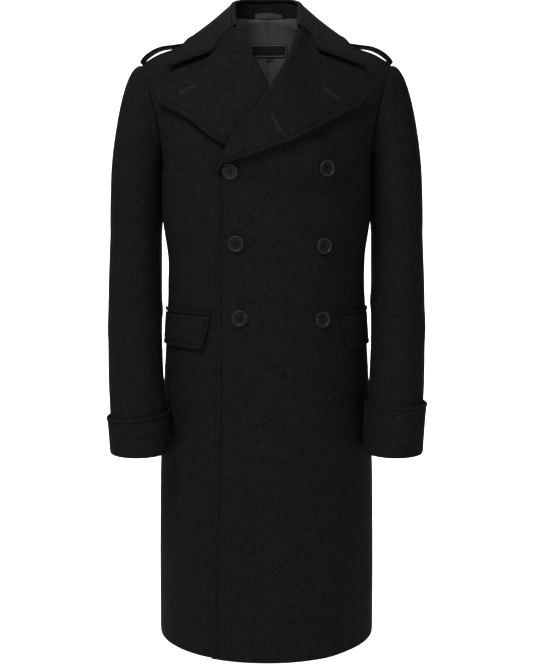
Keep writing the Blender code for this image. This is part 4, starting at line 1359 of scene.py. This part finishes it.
def button_mesh():
    """A turned button with a rolled rim, a dished face and four drilled holes."""
    bead = BUTTON_RIM / 2
    rim = [(BUTTON_RADIUS - bead + bead * math.cos(a), BUTTON_DEEP - bead + bead * math.sin(a))
           for a in np.radians(range(0, 181, 20))]
    base, face = ([(BUTTON_RADIUS * across, BUTTON_DEEP * up) for across, up in shares]
                  for shares in (BUTTON_BASE, BUTTON_DISH))
    outline = base + rim + face
    bm = bmesh.new()
    verts = [bm.verts.new((radius, 0.0, high)) for radius, high in outline]
    edges = [bm.edges.new(pair) for pair in zip(verts, verts[1:])]
    bmesh.ops.spin(bm, geom=verts + edges, axis=(0, 0, 1), cent=(0, 0, 0), angle=2 * math.pi, steps=56,
                   use_merge=True)
    bmesh.ops.remove_doubles(bm, verts=bm.verts, dist=1e-6)
    bmesh.ops.recalc_face_normals(bm, faces=bm.faces)
    mesh = bpy.data.meshes.new("button")
    bm.to_mesh(mesh)
    bm.free()
    return mesh


def drill(obj):
    """Cuts the four sewing holes through a button."""
    bm = bmesh.new()
    for x, y in HOLES:
        bmesh.ops.create_cone(bm, cap_ends=True, segments=20, radius1=HOLE_RADIUS, radius2=HOLE_RADIUS,
                              depth=4 * BUTTON_DEEP, matrix=Matrix.Translation((x, y, 0.0)))
    mesh = bpy.data.meshes.new("drill")
    bm.to_mesh(mesh)
    bm.free()
    cutter = new_object("drill", mesh)
    cut = obj.modifiers.new("holes", "BOOLEAN")
    cut.operation, cut.solver, cut.object = "DIFFERENCE", "EXACT", cutter
    bpy.context.view_layer.update()
    drilled = bpy.data.meshes.new_from_object(obj.evaluated_get(bpy.context.evaluated_depsgraph_get()))
    obj.modifiers.clear()
    obj.data = drilled
    bpy.data.objects.remove(cutter, do_unlink=True)


def add_buttons(front):
    pattern = new_object("button_pattern", button_mesh())
    drill(pattern)
    mesh = pattern.data
    bpy.data.objects.remove(pattern, do_unlink=True)
    mesh.materials.clear()
    mesh.materials.append(BUTTON_LOOK)
    mesh.materials.append(RIM_HIGHLIGHT_LOOK)
    # Faces beyond this share of the radius take the lighter rim look, a painted highlight.
    for face in mesh.polygons:
        face.material_index = int(math.hypot(*face.center[:2]) > BUTTON_HIGHLIGHT_START * BUTTON_RADIUS)
    mesh.shade_smooth()
    mesh.set_sharp_from_angle(angle=math.radians(40))
    spots = [spot for pair in BUTTON_PAIRS for spot in pair]
    for number, ((x, z), spin) in enumerate(zip(spots, BUTTON_SPINS), 1):
        seat, normal = on_cloth(front, x, z, BUTTON_LIFT)
        place = Matrix.Translation(seat) @ Vector(normal).to_track_quat("Z", "Y").to_matrix().to_4x4()
        place = place @ Matrix.Rotation(math.radians(spin), 4, "Z")
        shape = mesh.copy()
        shape.transform(place)
        dress(new_object(f"button_{number}_turned", shape), [f"button_{number}"])
        add_button_thread(number, place)


def add_button_thread(number, place):
    """Two threads through the holes and down to the cloth, thick in the holes and very dark: partly the
    thread's black, partly painted shade of the holes.
    """
    rise = BUTTON_DEEP * BUTTON_FACE + BUTTON_THREAD
    shares = np.linspace(0.0, 1.0, 9)
    for strand, x in enumerate((HOLE_AT, -HOLE_AT), 1):
        route = [(x, -HOLE_AT, -BUTTON_LIFT), (x, -HOLE_AT, rise * 0.7)]
        route += [(x, mix(-HOLE_AT, HOLE_AT, share), rise * (0.92 + 0.12 * math.sin(math.pi * share)))
                  for share in shares]
        route += [(x, HOLE_AT, rise * 0.7), (x, HOLE_AT, -BUTTON_LIFT)]
        points = [np.array(place @ Vector(point)) for point in route]
        sizes = np.array([HOLE_FILL] * 2 + [BUTTON_THREAD] * len(shares) + [HOLE_FILL] * 2)
        sewn = tube(f"button_{number}_thread_{strand}", points, sizes, SLIT_AND_HOLE_SHADE_LOOK, closed=False)
        attach(sewn)


def add_stage():
    """Pale floor that curves up into a plain backdrop."""
    profile = [(-STAGE_NEAR, FLOOR_Z), (STAGE_BEND, FLOOR_Z)]
    profile += [(STAGE_BEND + STAGE_ROUND * math.sin(a), FLOOR_Z + STAGE_ROUND * (1 - math.cos(a)))
                for a in np.radians(range(10, 91, 10))]
    profile += [(STAGE_BEND + STAGE_ROUND, FLOOR_Z + STAGE_HIGH)]
    points = [(x, y, z) for x in (-STAGE_WIDE, STAGE_WIDE) for y, z in profile]
    count = len(profile)
    faces = [(i, i + 1, count + i + 1, count + i) for i in range(count - 1)]
    made, _, shader = new_material("pale_stage")
    fill(shader, {"Base Color": (*grey(0.90), 1.0), "Roughness": 0.9,
                  "Emission Color": (*grey(1.0), 1.0), "Emission Strength": STAGE_GLOW})
    new_mesh("stage", np.array(points), faces, [made])


def add_light(name, location, target, size, power, spread_angle):
    data = bpy.data.lights.new(name, "AREA")
    data.size, data.energy, data.spread = size, power, math.radians(spread_angle)
    obj = new_object(name, data)
    obj.location = location
    obj.rotation_euler = (Vector(target) - Vector(location)).to_track_quat("-Z", "Y").to_euler()


def add_lights():
    for light in LIGHTS:
        add_light(*light)
    world = bpy.data.worlds.new("studio")
    world.use_nodes = True
    fill(world.node_tree.nodes["Background"], {"Color": (*grey(1.0), 1.0), "Strength": WORLD_STRENGTH})
    bpy.context.scene.world = world


def add_camera():
    data = bpy.data.cameras.new("camera")
    data.sensor_width, data.lens = SENSOR, LENS
    obj = new_object("camera", data)
    obj.location = CAMERA_AT
    obj.rotation_euler = (math.radians(90.0 - CAMERA_DOWN), 0.0, 0.0)
    bpy.context.scene.camera = obj


def main():
    for side in (LEFT, RIGHT):
        add_body(side)
        add_sleeve(side)
        add_lapel(side)
        add_pocket(side)
        add_lining(side)
    add_collar()
    add_trimmings()
    bpy.context.view_layer.update()
    add_buttons(bpy.data.objects["front_left_cloth"])
    add_stage()
    add_lights()
    add_camera()
    bpy.context.scene.view_settings.view_transform = "Standard"


main()
